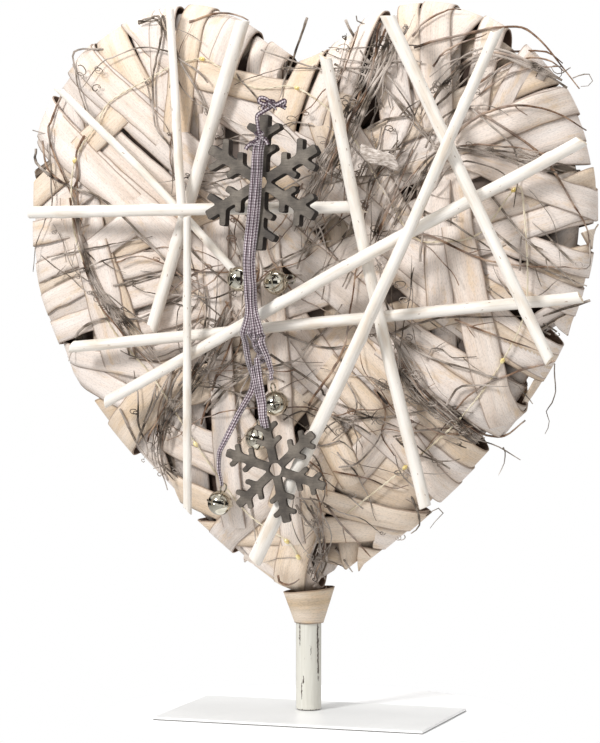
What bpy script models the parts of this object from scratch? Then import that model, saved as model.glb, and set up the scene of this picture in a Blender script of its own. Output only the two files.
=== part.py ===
# Lighted rattan heart: a flat hollow heart of whitewashed veneer strips on a post and a steel plate,
# with willow sticks, twigs, a light string, two wooden snowflakes and a ribbon with bells on its front.
# Metres, +Z up, the front looks along -Y. The origin is the middle of the plate's underside.
# Places on the heart are shares of its half width and height, from the tip up.
# Depths are counted forward from the heart's middle plane.
import math

import bmesh
import bpy
import numpy as np
from mathutils import Matrix, Vector
from mathutils.geometry import interpolate_bezier

MM = 0.001
FIT_GAP = 0.0003

# Stand
PLATE_LENGTH = 0.180
PLATE_WIDTH = 0.100
PLATE_THICKNESS = 0.002
PLATE_EDGE = 0.0004
POST_DIAMETER = 0.0165
POST_OFFSET_X = -0.0059
POST_OFFSET_Y = 0.0128
POST_BELOW_TIP = 0.0055
POST_EDGE = 0.0008
POST_SIDES = 24
COLLAR_BELOW_TIP = 0.017
COLLAR_HEIGHT = 0.0215
COLLAR_TOP_DIAMETER = 0.0335
COLLAR_WALL = 0.0009
COLLAR_RIM_SLOPE = 0.11
COLLAR_SIDES = 24

# Heart form
HEART_SHIFT_X = -0.0033
TIP_HEIGHT = 0.076
HEART_HALF_WIDTH = 0.192
HEART_HEIGHT = 0.381
RIM_BUILD_UP = 0.0085
FORM_HALF_DEPTH = 0.019
FORM_CENTRE_SHARE = 0.51
TIP_SHARE = -0.004
DOME_POWER = 6
OUTLINE_POINTS = 40

# Veneer strips
STRIP_THICKNESS = 0.0009
LAYER_GAP = 0.0009
STRIP_STATIONS = 20
STATION_POWER = 0.6

# Light string
WIRE_DIAMETER = 0.0014
BULB_DIAMETER = 0.0042
BULB_LENGTH = 0.006

# Hangings
UPPER_PLYWOOD = 0.006
LOWER_PLYWOOD = 0.003
FLAKE_CLEARANCE = 0.0009
UPPER_FLAKE_DIAMETER = 0.085
LOWER_FLAKE_DIAMETER = 0.068
BARK_LENGTH = 0.028
BARK_HEIGHT = 0.013
BARK_THICKNESS = 0.0056
RIBBON_THICKNESS = 0.0009
BUNDLE_THICKNESS = 0.0026
RIBBON_STEP = 0.007
BELL_DIAMETER = 0.0152
BELL_FLANGE = 0.0009
BELL_LOOP_DIAMETER = 0.0056
BELL_LOOP_WIRE = 0.0011

# Sizes that follow from the others
LAYER_PITCH = STRIP_THICKNESS + LAYER_GAP
POST_TOP = TIP_HEIGHT - POST_BELOW_TIP
COLLAR_BOTTOM = TIP_HEIGHT - COLLAR_BELOW_TIP
HEART_PLACE = Vector((POST_OFFSET_X + HEART_SHIFT_X, POST_OFFSET_Y, TIP_HEIGHT))


# Scene, materials and objects
def clear_scene():
    for thing in list(bpy.data.objects):
        bpy.data.objects.remove(thing, do_unlink=True)


def make_material(name, colour, roughness, metallic=0.0):
    material = bpy.data.materials.new(name)
    material.use_nodes = True
    shader = material.node_tree.nodes["Principled BSDF"]
    shader.inputs["Base Color"].default_value = (*colour, 1.0)
    shader.inputs["Roughness"].default_value = roughness
    shader.inputs["Metallic"].default_value = metallic
    return material


def make_collection(name):
    collection = bpy.data.collections.new(name)
    bpy.context.scene.collection.children.link(collection)
    return collection


clear_scene()
PARTS = make_collection("lighted_rattan_heart")
VENEER = make_material("veneer", (0.75, 0.66, 0.55), 0.7)
WILLOW = make_material("peeled_willow", (0.86, 0.82, 0.75), 0.6)
TWIG = make_material("twig", (0.28, 0.21, 0.18), 0.8)
BARK = make_material("bark", (0.5, 0.47, 0.43), 0.9)
STAINED = make_material("stained_plywood", (0.12, 0.11, 0.10), 0.8)
GINGHAM = make_material("gingham", (0.42, 0.34, 0.37), 0.9)
NICKEL = make_material("nickel", (0.70, 0.66, 0.56), 0.25, 1.0)
CABLE = make_material("cable", (0.80, 0.72, 0.50), 0.5)
WHITE_PAINT = make_material("white_paint", (0.84, 0.84, 0.82), 0.45)

HEART_FRAME = bpy.data.objects.new("heart_frame", None)
HEART_FRAME.location = HEART_PLACE
PARTS.objects.link(HEART_FRAME)


def add_object(name, data, material, on_heart=True):
    thing = bpy.data.objects.new(name, data)
    data.materials.append(material)
    PARTS.objects.link(thing)
    if on_heart:
        thing.parent = HEART_FRAME
    return thing


def finish_bmesh(bm, name, crease_degrees=40):
    mesh = bpy.data.meshes.new(name)
    bm.to_mesh(mesh)
    bm.free()
    mesh.shade_smooth()
    mesh.set_sharp_from_angle(angle=math.radians(crease_degrees))
    return mesh


def add_solidify(thing, thickness, offset):
    wall = thing.modifiers.new("wall", "SOLIDIFY")
    wall.thickness = thickness
    wall.offset = offset
    wall.use_even_offset = False


def add_bevel(thing, width, segments=1):
    edge = thing.modifiers.new("edge", "BEVEL")
    edge.width = width
    edge.segments = segments
    edge.limit_method = "ANGLE"


def on_form(share_x, share_z):
    return Vector((share_x * HEART_HALF_WIDTH, share_z * HEART_HEIGHT))


def from_knot(right_mm, down_mm):
    # What hangs from the ribbon's knot has its place in millimetres from it
    return KNOT + Vector((right_mm, -down_mm)) * MM


def to_space(place, depth):
    return Vector((place.x, -depth, place.y))


# Heart outline: three curves a side, from the notch over the lobe and down to the tip
def heart_outline():
    knots = [
        ((0.0, 0.905), (0.101, 0.920), (0.209, 1.0), (0.417, 1.0)),
        ((0.417, 1.0), (0.697, 1.0), (1.0, 0.869), (1.0, 0.656)),
        ((1.0, 0.656), (1.0, 0.346), (0.378, 0.127), (0.060, 0.0)),
    ]
    outline = []
    for knot in knots:
        corners = [on_form(*share) for share in knot]
        outline += interpolate_bezier(*corners, OUTLINE_POINTS)[:-1]
    outline.append(on_form(0.0, TIP_SHARE))
    return outline


FORM_CENTRE = on_form(0.0, FORM_CENTRE_SHARE)
KNOT = on_form(-0.020, 0.777)


def polar_table():
    angles = []
    reaches = []
    for point in heart_outline():
        spoke = point.to_2d() - FORM_CENTRE
        angles.append(math.atan2(spoke.y, spoke.x))
        reaches.append(spoke.length)
    order = np.argsort(angles)
    return np.array(angles)[order], np.array(reaches)[order]


RIM_ANGLES, RIM_REACHES = polar_table()


def dome_share(place, offset):
    # 0 at the middle of the form, 1 on its rim
    spoke = place - FORM_CENTRE
    angle = math.atan2(spoke.y, abs(spoke.x))
    reach = float(np.interp(angle, RIM_ANGLES, RIM_REACHES))
    return spoke.length / (reach - RIM_BUILD_UP + offset)


def dome_depth(place, offset):
    share = min(1.0, dome_share(place, offset))
    return (FORM_HALF_DEPTH + offset) * math.sqrt(1.0 - share**DOME_POWER)


# Bands: rows of two or more points across, closed round the heart or open
def band_mesh(name, rows, closed):
    bm = bmesh.new()
    grid = [[bm.verts.new(point) for point in row] for row in rows]
    ends = grid[1:] + grid[:1] if closed else grid[1:]
    for row, following in zip(grid, ends):
        for i in range(len(row) - 1):
            bm.faces.new((row[i], following[i], following[i + 1], row[i + 1]))
    return finish_bmesh(bm, name)


# Veneer strips, wound round front and back
def way_to_rim(start, direction, offset):
    low = 0.0
    high = 0.0
    stride = 2 * MM
    while dome_share(start + direction * high, offset) < 1.0:
        low = high
        high += stride
    for _ in range(20):
        middle = (low + high) / 2
        if dome_share(start + direction * middle, offset) < 1.0:
            low = middle
        else:
            high = middle
    return low


def wind_edge(start, direction, offset):
    ahead = way_to_rim(start, direction, offset)
    behind = -way_to_rim(start, -direction, offset)
    middle = (ahead + behind) / 2
    half = (ahead - behind) / 2
    edge = []
    for k in range(STRIP_STATIONS):
        turn = 2 * math.pi * k / STRIP_STATIONS
        swing = math.cos(turn)
        if abs(swing) < 1e-9:
            swing = 0.0
        along = middle + half * math.copysign(abs(swing) ** STATION_POWER, swing)
        place = start + direction * along
        depth = dome_depth(place, offset)
        if k % (STRIP_STATIONS // 2) == 0:
            depth = 0.0
        edge.append(to_space(place, depth if turn < math.pi else -depth))
    return edge


def wind_strip(number, layer, width, first, second):
    offset = layer * LAYER_PITCH
    start = on_form(*first)
    end = on_form(*second)
    direction = (end - start).normalized()
    across = Vector((-direction.y, direction.x))
    middle = (start + end) / 2
    shares = (0.5, 0.0, -0.5) if layer else (0.5, -0.5)
    edges = [wind_edge(middle + across * share * width, direction, offset) for share in shares]
    name = f"strip_{number:02d}"
    mesh = band_mesh(name, list(zip(*edges)), closed=True)
    strip = add_object(name, mesh, VENEER)
    add_solidify(strip, STRIP_THICKNESS, 1.0)


# Layer, width in millimetres, and two places that the strip's middle line passes over
STRIPS = [
    (0, 28, (-0.82, 0.56), (-0.36, 0.86)),
    (0, 28, (-0.60, 0.34), (0.22, 0.84)),
    (0, 26, (-0.53, 0.20), (0.69, 0.953)),
    (0, 28, (-0.26, 0.20), (0.68, 0.79)),
    (1, 28, (-0.83, 0.80), (0.16, 0.28)),
    (1, 28, (-0.57, 0.84), (0.57, 0.22)),
    (1, 28, (-0.45, 0.90), (0.70, 0.35)),
    (1, 28, (0.40, 0.88), (0.93, 0.50)),
    (2, 26, (-0.70, 0.87), (-0.65, 0.39)),
    (2, 24, (-0.38, 0.92), (-0.37, 0.22)),
    (2, 20, (-0.12, 0.88), (-0.20, 0.20)),
    (2, 24, (0.15, 0.90), (0.20, 0.20)),
    (2, 26, (0.50, 0.97), (0.50, 0.29)),
    (3, 22, (0.30, 0.40), (0.80, 0.72)),
    (3, 22, (0.35, 0.74), (0.85, 0.90)),
    (4, 25, (-0.67, 0.515), (0.94, 0.836)),
    (4, 24, (-0.67, 0.398), (0.92, 0.657)),
    (4, 24, (-0.67, 0.306), (0.927, 0.559)),
    (4, 18, (-0.37, 0.642), (0.924, 0.898)),
    (5, 17, (-0.18, 0.11), (0.26, 0.125)),
    (5, 26, (-0.86, 0.79), (0.31, 0.30)),
    (5, 26, (-0.78, 0.91), (0.52, 0.39)),
    (5, 24, (-0.57, 0.98), (0.83, 0.42)),
    (6, 24, (-0.708, 0.588), (-0.611, 0.403)),
    (6, 18, (-0.30, 0.95), (-0.21, 0.13)),
    (6, 16, (-0.11, 0.85), (0.01, 0.10)),
    (6, 21, (0.582, 0.619), (0.713, 0.318)),
]
TOP_LAYER = max(strip[0] for strip in STRIPS)


def wind_strips():
    for number, strip in enumerate(STRIPS, start=1):
        layer, width, first, second = strip
        wind_strip(number, layer, width * MM, first, second)


# What already lies on the front: place, reach round it, and how far forward it stands
LAID = []


def note_laid(place, reach, front):
    LAID.append((place.x, place.y, reach, front))


def bed_depth(place, reach):
    skin = TOP_LAYER * LAYER_PITCH + STRIP_THICKNESS
    front = dome_depth(place, skin)
    if LAID:
        laid = np.array(LAID)
        apart = np.hypot(laid[:, 0] - place.x, laid[:, 1] - place.y)
        near = apart < laid[:, 2] + reach
        if near.any():
            front = max(front, float(laid[near, 3].max()))
    return front + FIT_GAP


def smooth_path(places, step):
    # Catmull-Rom curve through places, read at about one point every step
    points = [places[0] * 2 - places[1], *places, places[-1] * 2 - places[-2]]
    path = []
    for i in range(1, len(points) - 2):
        before, here, there, after = points[i - 1 : i + 3]
        count = max(1, round((there - here).length / step))
        for k in range(count):
            t = k / count
            path.append(
                0.5
                * (
                    2 * here
                    + (there - before) * t
                    + (2 * before - 5 * here + 4 * there - after) * t**2
                    + (3 * here - before - 3 * there + after) * t**3
                )
            )
    path.append(places[-1])
    return path


def ease(beds, window):
    # Depths that clear the bed everywhere, eased over a window of points
    count = range(len(beds))
    highs = [max(beds[max(0, i - window) : i + window + 1]) for i in count]
    return [float(np.mean(highs[max(0, i - window) : i + window + 1])) for i in count]


def straight_rest(beds, shares):
    # The lowest straight line over the beds, with little tilt
    best = None
    for tilt in np.linspace(-MOST_TILT, MOST_TILT, 121):
        lift = float(np.max(np.array(beds) - tilt * (shares - 0.5)))
        cost = lift + 0.2 * abs(tilt)
        if best is None or cost < best[0]:
            best = (cost, lift + tilt * (shares - 0.5))
    return best[1]


def drape(path, reach, window, lift):
    beds = [bed_depth(place, reach) + lift for place in path]
    return ease(beds, window)


def add_tube(name, points, radii, material, sides_step=2):
    curve = bpy.data.curves.new(name, "CURVE")
    curve.dimensions = "3D"
    curve.bevel_depth = 1.0
    curve.bevel_resolution = sides_step
    curve.use_fill_caps = True
    spline = curve.splines.new("POLY")
    spline.points.add(len(points) - 1)
    for point, place, radius in zip(spline.points, points, radii):
        point.co = (*place, 1.0)
        point.radius = radius
    return add_object(name, curve, material)


# Light string, under the twigs and sticks
WIRE_ROUTE = [
    (0.03, 0.07), (-0.01, 0.10), (-0.16, 0.15), (-0.33, 0.26), (-0.48, 0.37),
    (-0.64, 0.46), (-0.74, 0.57), (-0.78, 0.65), (-0.77, 0.74), (-0.69, 0.80),
    (-0.64, 0.84), (-0.49, 0.88), (-0.41, 0.90), (-0.31, 0.91), (-0.23, 0.89),
    (-0.12, 0.86), (0.02, 0.86), (0.19, 0.80), (0.33, 0.69), (0.43, 0.615),
    (0.53, 0.605), (0.66, 0.62), (0.77, 0.69), (0.80, 0.67), (0.81, 0.51),
    (0.73, 0.41), (0.58, 0.31), (0.40, 0.23), (0.20, 0.15),
]
BULB_ORDER = (0, 1, 3, 8, 13, 16, 19, 22, 25, 27)
BULB_SHARES = (-0.5, -0.3, 0.3, 0.5)


def lay_light_string():
    stops = [on_form(*share) for share in WIRE_ROUTE]
    path = smooth_path(stops, BULB_LENGTH * 3)
    radius = WIRE_DIAMETER / 2
    bulb_radius = BULB_DIAMETER / 2
    bulbs = [stops[i] for i in BULB_ORDER]
    radii = []
    for place in path:
        at_bulb = min((place - bulb).length for bulb in bulbs) < MM
        radii.append(bulb_radius if at_bulb else radius)
    depths = [bed_depth(place, wide) + wide for place, wide in zip(path, radii)]
    points = [to_space(place, depth) for place, depth in zip(path, depths)]
    full_points = []
    full_radii = []
    for i, point in enumerate(points):
        if radii[i] == radius or i in (0, len(points) - 1):
            full_points.append(point)
            full_radii.append(radius)
            continue
        heading = (points[i + 1] - points[i - 1]).normalized()
        for share, wide in zip(BULB_SHARES, (radius, bulb_radius, bulb_radius, radius)):
            full_points.append(point + heading * share * BULB_LENGTH)
            full_radii.append(wide)
    add_tube("light_string", full_points, full_radii, CABLE, 0)
    for place, depth, wide in zip(path, depths, radii):
        note_laid(place, BULB_LENGTH * 1.3, depth + wide)


# Twig bundles: name, radius in millimetres, places along the middle line
VINE_STEP = 0.015
VINE_REACH = 0.008
VINES = [
    ("notch", 2.6, ((0.36, 0.97), (0.30, 0.89), (0.22, 0.81), (0.12, 0.70), (0.05, 0.62))),
    ("lobe", 2.4, ((0.93, 0.865), (0.80, 0.90), (0.66, 0.915), (0.53, 0.87), (0.45, 0.80))),
    ("band", 2.6, ((0.97, 0.72), (0.74, 0.755), (0.53, 0.755), (0.40, 0.67), (0.30, 0.58))),
    ("left", 2.2, ((-0.77, 0.69), (-0.74, 0.60), (-0.68, 0.52), (-0.57, 0.45), (-0.44, 0.38))),
    ("lower_left", 2.4, ((-0.20, 0.50), (-0.30, 0.40), (-0.42, 0.32), (-0.47, 0.25), (-0.44, 0.18))),
    ("lower_right", 2.4, ((0.30, 0.48), (0.40, 0.41), (0.50, 0.345), (0.67, 0.28))),
    ("tip", 1.8, ((0.05, 0.17), (0.115, 0.11), (0.07, 0.04))),
]


def lay_vines():
    for name, radius_mm, shares in VINES:
        radius = radius_mm * MM
        path = smooth_path([on_form(*share) for share in shares], VINE_STEP)
        depths = drape(path, radius, 1, radius)
        points = [to_space(place, depth) for place, depth in zip(path, depths)]
        swell = np.sin(np.pi * np.linspace(0.08, 0.92, len(path)))
        radii = radius * (0.35 + 0.65 * swell)
        add_tube(f"vine_{name}", points, radii, TWIG, 1)
        for place, depth in zip(path, depths):
            note_laid(place, VINE_REACH + radius, depth + radius)


# Sticks: name, radii of the ends in millimetres, end places, bow to the side in millimetres,
# and whether the stick bends over what it crosses
STICK_SAMPLES = 65
BENT_PIECES = 8
STRAIGHT_PIECES = 2
STICK_EASE = 0.05
MOST_TILT = 0.05
STICKS = [
    ("left_fall", 4.7, 4.2, (-0.151, 0.973), (-0.480, 0.453), 0.0, False),
    ("left_slant", 2.5, 2.9, (-0.798, 0.862), (-0.130, 0.535), 2.0, False),
    ("left_upper", 2.8, 3.2, (-0.427, 0.998), (-0.339, 0.653), 0.0, False),
    ("left_level", 4.1, 4.1, (-0.906, 0.652), (0.274, 0.662), 0.0, True),
    ("long_level", 4.0, 3.8, (-0.755, 0.423), (1.005, 0.517), 0.0, True),
    ("right_upright", 3.9, 4.1, (0.157, 0.912), (0.486, 0.166), 0.0, True),
    ("long_rise", 3.8, 4.2, (-0.623, 0.330), (1.015, 0.771), 0.0, True),
    ("left_lower", 2.5, 2.9, (-0.291, 0.647), (-0.317, 0.150), 0.0, False),
    ("right_fall", 4.4, 4.0, (0.380, 0.976), (0.931, 0.413), 0.0, False),
    ("right_rise", 3.6, 4.9, (0.768, 0.949), (-0.056, 0.075), 2.0, False),
]


def lay_stick(name, first_mm, last_mm, first, last, side_bow, bends):
    # Bends gently over what lies below it, or lies straight across it
    start = on_form(*first)
    end = on_form(*last)
    direction = (end - start).normalized()
    across = Vector((-direction.y, direction.x))
    shares = np.linspace(0.0, 1.0, STICK_SAMPLES)
    bows = side_bow * MM * (1.0 - (2.0 * shares - 1.0) ** 2)
    places = [start.lerp(end, share) + across * bow for share, bow in zip(shares, bows)]
    radii = (first_mm + (last_mm - first_mm) * shares) * MM
    spacing = (end - start).length / (STICK_SAMPLES - 1)
    window = round(STICK_EASE / spacing)
    beds = [bed_depth(place, radius) + radius for place, radius in zip(places, radii)]
    depths = np.array(ease(beds, window)) if bends else straight_rest(beds, shares)
    pieces = BENT_PIECES if bends else STRAIGHT_PIECES
    every = slice(0, None, (STICK_SAMPLES - 1) // pieces)
    knots = shares[every]
    depths = np.interp(shares, knots, depths[every])
    depths += max(0.0, float(np.max(np.array(beds) - depths)))
    points = [to_space(place, depth) for place, depth in zip(places[every], depths[every])]
    add_tube(f"stick_{name}", points, radii[every], WILLOW, 2)
    for share, depth, radius in zip(shares, depths, radii):
        x = float(np.interp(share, knots, [place.x for place in places[every]]))
        z = float(np.interp(share, knots, [place.y for place in places[every]]))
        note_laid(Vector((x, z)), radius, depth + radius)


# Snowflakes: arms as shares of their own radius
# Each branch: where it leaves the arm, its length and its width, all as shares of the radius
ARM_TURN = 60
BRANCH_LEAN = math.radians(60)
UPPER_ARM = 0.0756
UPPER_HOLE = 0.102
UPPER_BRANCHES = [(0.40, 0.18, 0.0976), (0.68, 0.24, 0.1024)]
LOWER_ARM = 0.0794
LOWER_HOLE = 0.135
LOWER_BRANCHES = [(0.44, 0.20, 0.0941), (0.72, 0.18, 0.0941)]


def flake_outline(arm, branches):
    # Points of one arm's upper side from its root to its tip, then mirrored and turned
    valley = arm / math.sin(math.radians(ARM_TURN / 2))
    half = [Vector((valley * math.cos(math.radians(ARM_TURN / 2)), arm))]
    way = Vector((math.cos(BRANCH_LEAN), math.sin(BRANCH_LEAN)))
    side = Vector((math.sin(BRANCH_LEAN), -math.cos(BRANCH_LEAN)))
    for root, length, width in branches:
        foot = Vector((root, arm))
        half.append(foot)
        half.append(foot + way * length)
        half.append(foot + way * length + side * width)
        half.append(foot + Vector((width / math.sin(BRANCH_LEAN), 0.0)))
    half.append(Vector((1.0, arm)))
    outline = []
    for k in range(6):
        turn = Matrix.Rotation(math.radians(ARM_TURN * k), 2)
        outline += [turn @ Vector((p.x, -p.y)) for p in half[1:]]
        outline += [turn @ p for p in reversed(half)]
    return outline


def flake_hole(share):
    turns = [math.radians(60 * k + 30) for k in range(6)]
    return [Vector((share * math.cos(turn), share * math.sin(turn))) for turn in turns]


def flake_places(radius, rings):
    # Places round the flake's middle, ring by ring
    for ring in rings:
        for step in range(24):
            around = math.radians(15 * step)
            yield Vector((math.cos(around), math.sin(around))) * radius * ring


def add_flake(name, diameter, plywood, outline, hole, centre, turn, tilts):
    radius = diameter / 2
    curve = bpy.data.curves.new(name, "CURVE")
    curve.dimensions = "2D"
    curve.fill_mode = "BOTH"
    curve.extrude = plywood / 2
    for ring in (outline, hole):
        spline = curve.splines.new("POLY")
        spline.points.add(len(ring) - 1)
        for point, place in zip(spline.points, ring):
            point.co = (place.x * radius, place.y * radius, 0.0, 1.0)
        spline.use_cyclic_u = True
    flake = add_object(name, curve, STAINED)
    lean_x, lean_z = (math.tan(math.radians(degrees)) for degrees in tilts)
    needs = []
    for away in flake_places(radius, (0.0, 0.5, 0.75, 1.0)):
        needs.append(bed_depth(centre + away, 2 * MM) - lean_x * away.x - lean_z * away.y)
    depth = max(needs) + plywood / 2 + FIT_GAP
    stand_up = Matrix.Rotation(math.radians(90), 4, "X")
    spin = Matrix.Rotation(math.radians(turn), 4, "Y")
    lean = Matrix.Rotation(-math.atan(lean_x), 4, "Z") @ Matrix.Rotation(math.atan(lean_z), 4, "X")
    flake.matrix_local = Matrix.Translation(to_space(centre, depth)) @ lean @ spin @ stand_up
    for away in flake_places(radius, (0.0, 0.3, 0.6, 0.88)):
        front = depth + lean_x * away.x + lean_z * away.y + plywood / 2
        note_laid(centre + away, radius * 0.19, front + FLAKE_CLEARANCE)


# Ribbon: widths in millimetres, spread evenly over its length, and places from the knot
BUNDLE_WIDTHS = (9, 5, 6, 7, 8, 8, 7.5, 7, 7)
BUNDLE_ROUTE = (
    (7.5, -20.0), (-1.0, -9.0), (0.0, 0.0), (-2.5, 9.0), (-5.0, 22.5),
    (-8.0, 44.6), (-9.6, 75.1), (-8.1, 102.0), (-6.1, 117.7),
)
RIBBON_TAILS = [
    ("left", (5, 5, 4, 3), ((-7.5, 123.0), (-13.7, 142.8), (-22.6, 175.0), (-27.4, 203.5), (-25.0, 219.0))),
    ("middle", (7, 6.5, 6), ((-4.5, 123.0), (-2.4, 147.0), (3.3, 182.0))),
    ("right", (5, 5, 2.5), ((-1.2, 123.0), (3.6, 138.0), (8.2, 152.0))),
]


def lay_ribbon(name, route, widths, thickness, window):
    path = smooth_path([from_knot(*stop) for stop in route], RIBBON_STEP)
    depths = drape(path, max(widths) * MM / 2, window, thickness / 2)
    last = len(path) - 1
    rows = []
    for i, place in enumerate(path):
        heading = (path[min(i + 1, last)] - path[max(i - 1, 0)]).normalized()
        across = Vector((-heading.y, heading.x))
        half = np.interp(i / last, np.linspace(0, 1, len(widths)), widths) * MM / 2
        rows.append([to_space(place + across * side * half, depths[i]) for side in (1, -1)])
    mesh = band_mesh(name, rows, closed=False)
    ribbon = add_object(name, mesh, GINGHAM)
    add_solidify(ribbon, thickness, 0.0)
    for place, depth in zip(path, depths):
        note_laid(place, max(widths) * MM / 2 + 4 * MM, depth + thickness / 2 + FIT_GAP)


# Bells: name, place from the knot, lean to the side and turn about the bell's own axis in degrees
BELLS = [
    ("ribbon_left", (-20.8, 89.4), 50, 0),
    ("ribbon_right", (-1.6, 91.8), 78, 20),
    ("tail_right", (-1.6, 168.8), -10, 80),
    ("tail_left", (-40.0, 233.5), 14, 70),
    ("behind_flake", (-14.1, 191.1), 15, 40),
]
FLANGE_RISE = 5
BELL_RISES = (90, 55, 22, FLANGE_RISE, -FLANGE_RISE, -22, -55, -90)


def bell_mesh():
    radius = BELL_DIAMETER / 2
    bm = bmesh.new()
    profile = []
    for degrees in BELL_RISES:
        rise = math.radians(degrees)
        wide = radius * math.cos(rise)
        if abs(degrees) == FLANGE_RISE:
            wide += BELL_FLANGE
        profile.append(bm.verts.new((wide, 0.0, radius * math.sin(rise))))
    for upper, lower in zip(profile, profile[1:]):
        bm.edges.new((upper, lower))
    bmesh.ops.spin(
        bm,
        geom=bm.verts[:] + bm.edges[:],
        axis=(0, 0, 1),
        cent=(0, 0, 0),
        angle=2 * math.pi,
        steps=10,
        use_merge=True,
    )
    bmesh.ops.remove_doubles(bm, verts=bm.verts, dist=0.00002)
    bmesh.ops.recalc_face_normals(bm, faces=bm.faces)
    return finish_bmesh(bm, "bell")


def loop_mesh():
    major = BELL_LOOP_DIAMETER / 2
    minor = BELL_LOOP_WIRE / 2
    bm = bmesh.new()
    bmesh.ops.create_circle(bm, segments=4, radius=minor)
    bmesh.ops.rotate(bm, verts=bm.verts, matrix=Matrix.Rotation(math.radians(90), 3, "X"))
    bmesh.ops.translate(bm, verts=bm.verts, vec=(major, 0, 0))
    bmesh.ops.spin(
        bm,
        geom=bm.edges[:],
        axis=(0, 0, 1),
        cent=(0, 0, 0),
        angle=2 * math.pi,
        steps=8,
        use_merge=True,
    )
    bmesh.ops.rotate(bm, verts=bm.verts, matrix=Matrix.Rotation(math.radians(90), 3, "X"))
    bmesh.ops.translate(bm, verts=bm.verts, vec=(0, 0, BELL_DIAMETER / 2 + major - minor * 1.3))
    bmesh.ops.recalc_face_normals(bm, faces=bm.faces)
    return finish_bmesh(bm, "bell_loop")


def add_bells():
    helpers = make_collection("bell_cutters")
    loop = bpy.data.objects.new("bell_loop_shape", loop_mesh())
    loop.hide_render = True
    loop.display_type = "WIRE"
    helpers.objects.link(loop)
    shell = bell_mesh()
    reach = BELL_DIAMETER / 2 + BELL_FLANGE
    for name, from_here, lean, turn in BELLS:
        bell = add_object(f"bell_{name}", shell.copy(), NICKEL)
        union = bell.modifiers.new("loop", "BOOLEAN")
        union.operation = "UNION"
        union.solver = "EXACT"
        place = from_knot(*from_here)
        depth = bed_depth(place, reach) + reach
        bell.matrix_local = (
            Matrix.Translation(to_space(place, depth))
            @ Matrix.Rotation(math.radians(lean), 4, "Y")
            @ Matrix.Rotation(math.radians(turn), 4, "Z")
        )
        own_loop = loop.copy()
        helpers.objects.link(own_loop)
        own_loop.parent = bell
        union.object = own_loop
        note_laid(place, reach, depth + reach)
        note_laid(place + Vector((0, reach)), BELL_LOOP_DIAMETER / 2, depth + BELL_LOOP_WIRE)
    bpy.data.objects.remove(loop)


# Bark: a flat rounded lump, bent upwards at its ends and turned down to the right
BARK_PLACE = (0.323, 0.739)
BARK_LEAN = math.radians(22)
BARK_BEND = 25
BARK_SHEAR = 0.18


def add_bark():
    bm = bmesh.new()
    bmesh.ops.create_uvsphere(bm, u_segments=10, v_segments=6, radius=0.5)
    bmesh.ops.scale(bm, vec=(BARK_LENGTH, BARK_THICKNESS, BARK_HEIGHT), verts=bm.verts)
    for vert in bm.verts:
        vert.co.z += BARK_SHEAR * vert.co.x + BARK_BEND * vert.co.x**2
    bark = add_object("bark_piece", finish_bmesh(bm, "bark_piece"), BARK)
    place = on_form(*BARK_PLACE)
    along = Vector((1.0, -math.tan(BARK_LEAN))) * BARK_LENGTH
    stops = [place + along * share for share in (-0.43, -0.14, 0.14, 0.43)]
    reach = BARK_HEIGHT / 2
    depth = max(bed_depth(stop, reach) for stop in stops) + BARK_THICKNESS / 2
    turn = Matrix.Rotation(BARK_LEAN, 4, "Y")
    bark.matrix_local = Matrix.Translation(to_space(place, depth)) @ turn
    for stop in stops:
        note_laid(stop, reach, depth + BARK_THICKNESS / 2)


# Stand
def add_plate():
    bm = bmesh.new()
    bmesh.ops.create_cube(bm, size=1.0)
    bmesh.ops.scale(bm, vec=(PLATE_LENGTH, PLATE_WIDTH, PLATE_THICKNESS), verts=bm.verts)
    plate = add_object("base_plate", finish_bmesh(bm, "base_plate", 30), WHITE_PAINT, on_heart=False)
    plate.location = (0, 0, PLATE_THICKNESS / 2)
    add_bevel(plate, PLATE_EDGE)


def add_post():
    bottom = PLATE_THICKNESS + FIT_GAP
    bm = bmesh.new()
    bmesh.ops.create_cone(
        bm,
        cap_ends=True,
        segments=POST_SIDES,
        radius1=POST_DIAMETER / 2,
        radius2=POST_DIAMETER / 2,
        depth=POST_TOP - bottom,
    )
    post = add_object("post", finish_bmesh(bm, "post"), WHITE_PAINT, on_heart=False)
    post.location = (POST_OFFSET_X, POST_OFFSET_Y, (POST_TOP + bottom) / 2)
    add_bevel(post, POST_EDGE)


def add_collar():
    inner_bottom = POST_DIAMETER / 2 + FIT_GAP
    inner_top = COLLAR_TOP_DIAMETER / 2 - COLLAR_WALL
    bm = bmesh.new()
    bmesh.ops.create_cone(
        bm,
        cap_ends=False,
        segments=COLLAR_SIDES,
        radius1=inner_bottom / math.cos(math.pi / COLLAR_SIDES),
        radius2=inner_top / math.cos(math.pi / COLLAR_SIDES),
        depth=COLLAR_HEIGHT,
    )
    for vert in bm.verts:
        if vert.co.z > 0:
            vert.co.z += COLLAR_RIM_SLOPE * vert.co.x
    collar = add_object("collar", finish_bmesh(bm, "collar"), VENEER, on_heart=False)
    collar.location = (POST_OFFSET_X, POST_OFFSET_Y, COLLAR_BOTTOM + COLLAR_HEIGHT / 2)
    add_solidify(collar, COLLAR_WALL, 1.0)


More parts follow.
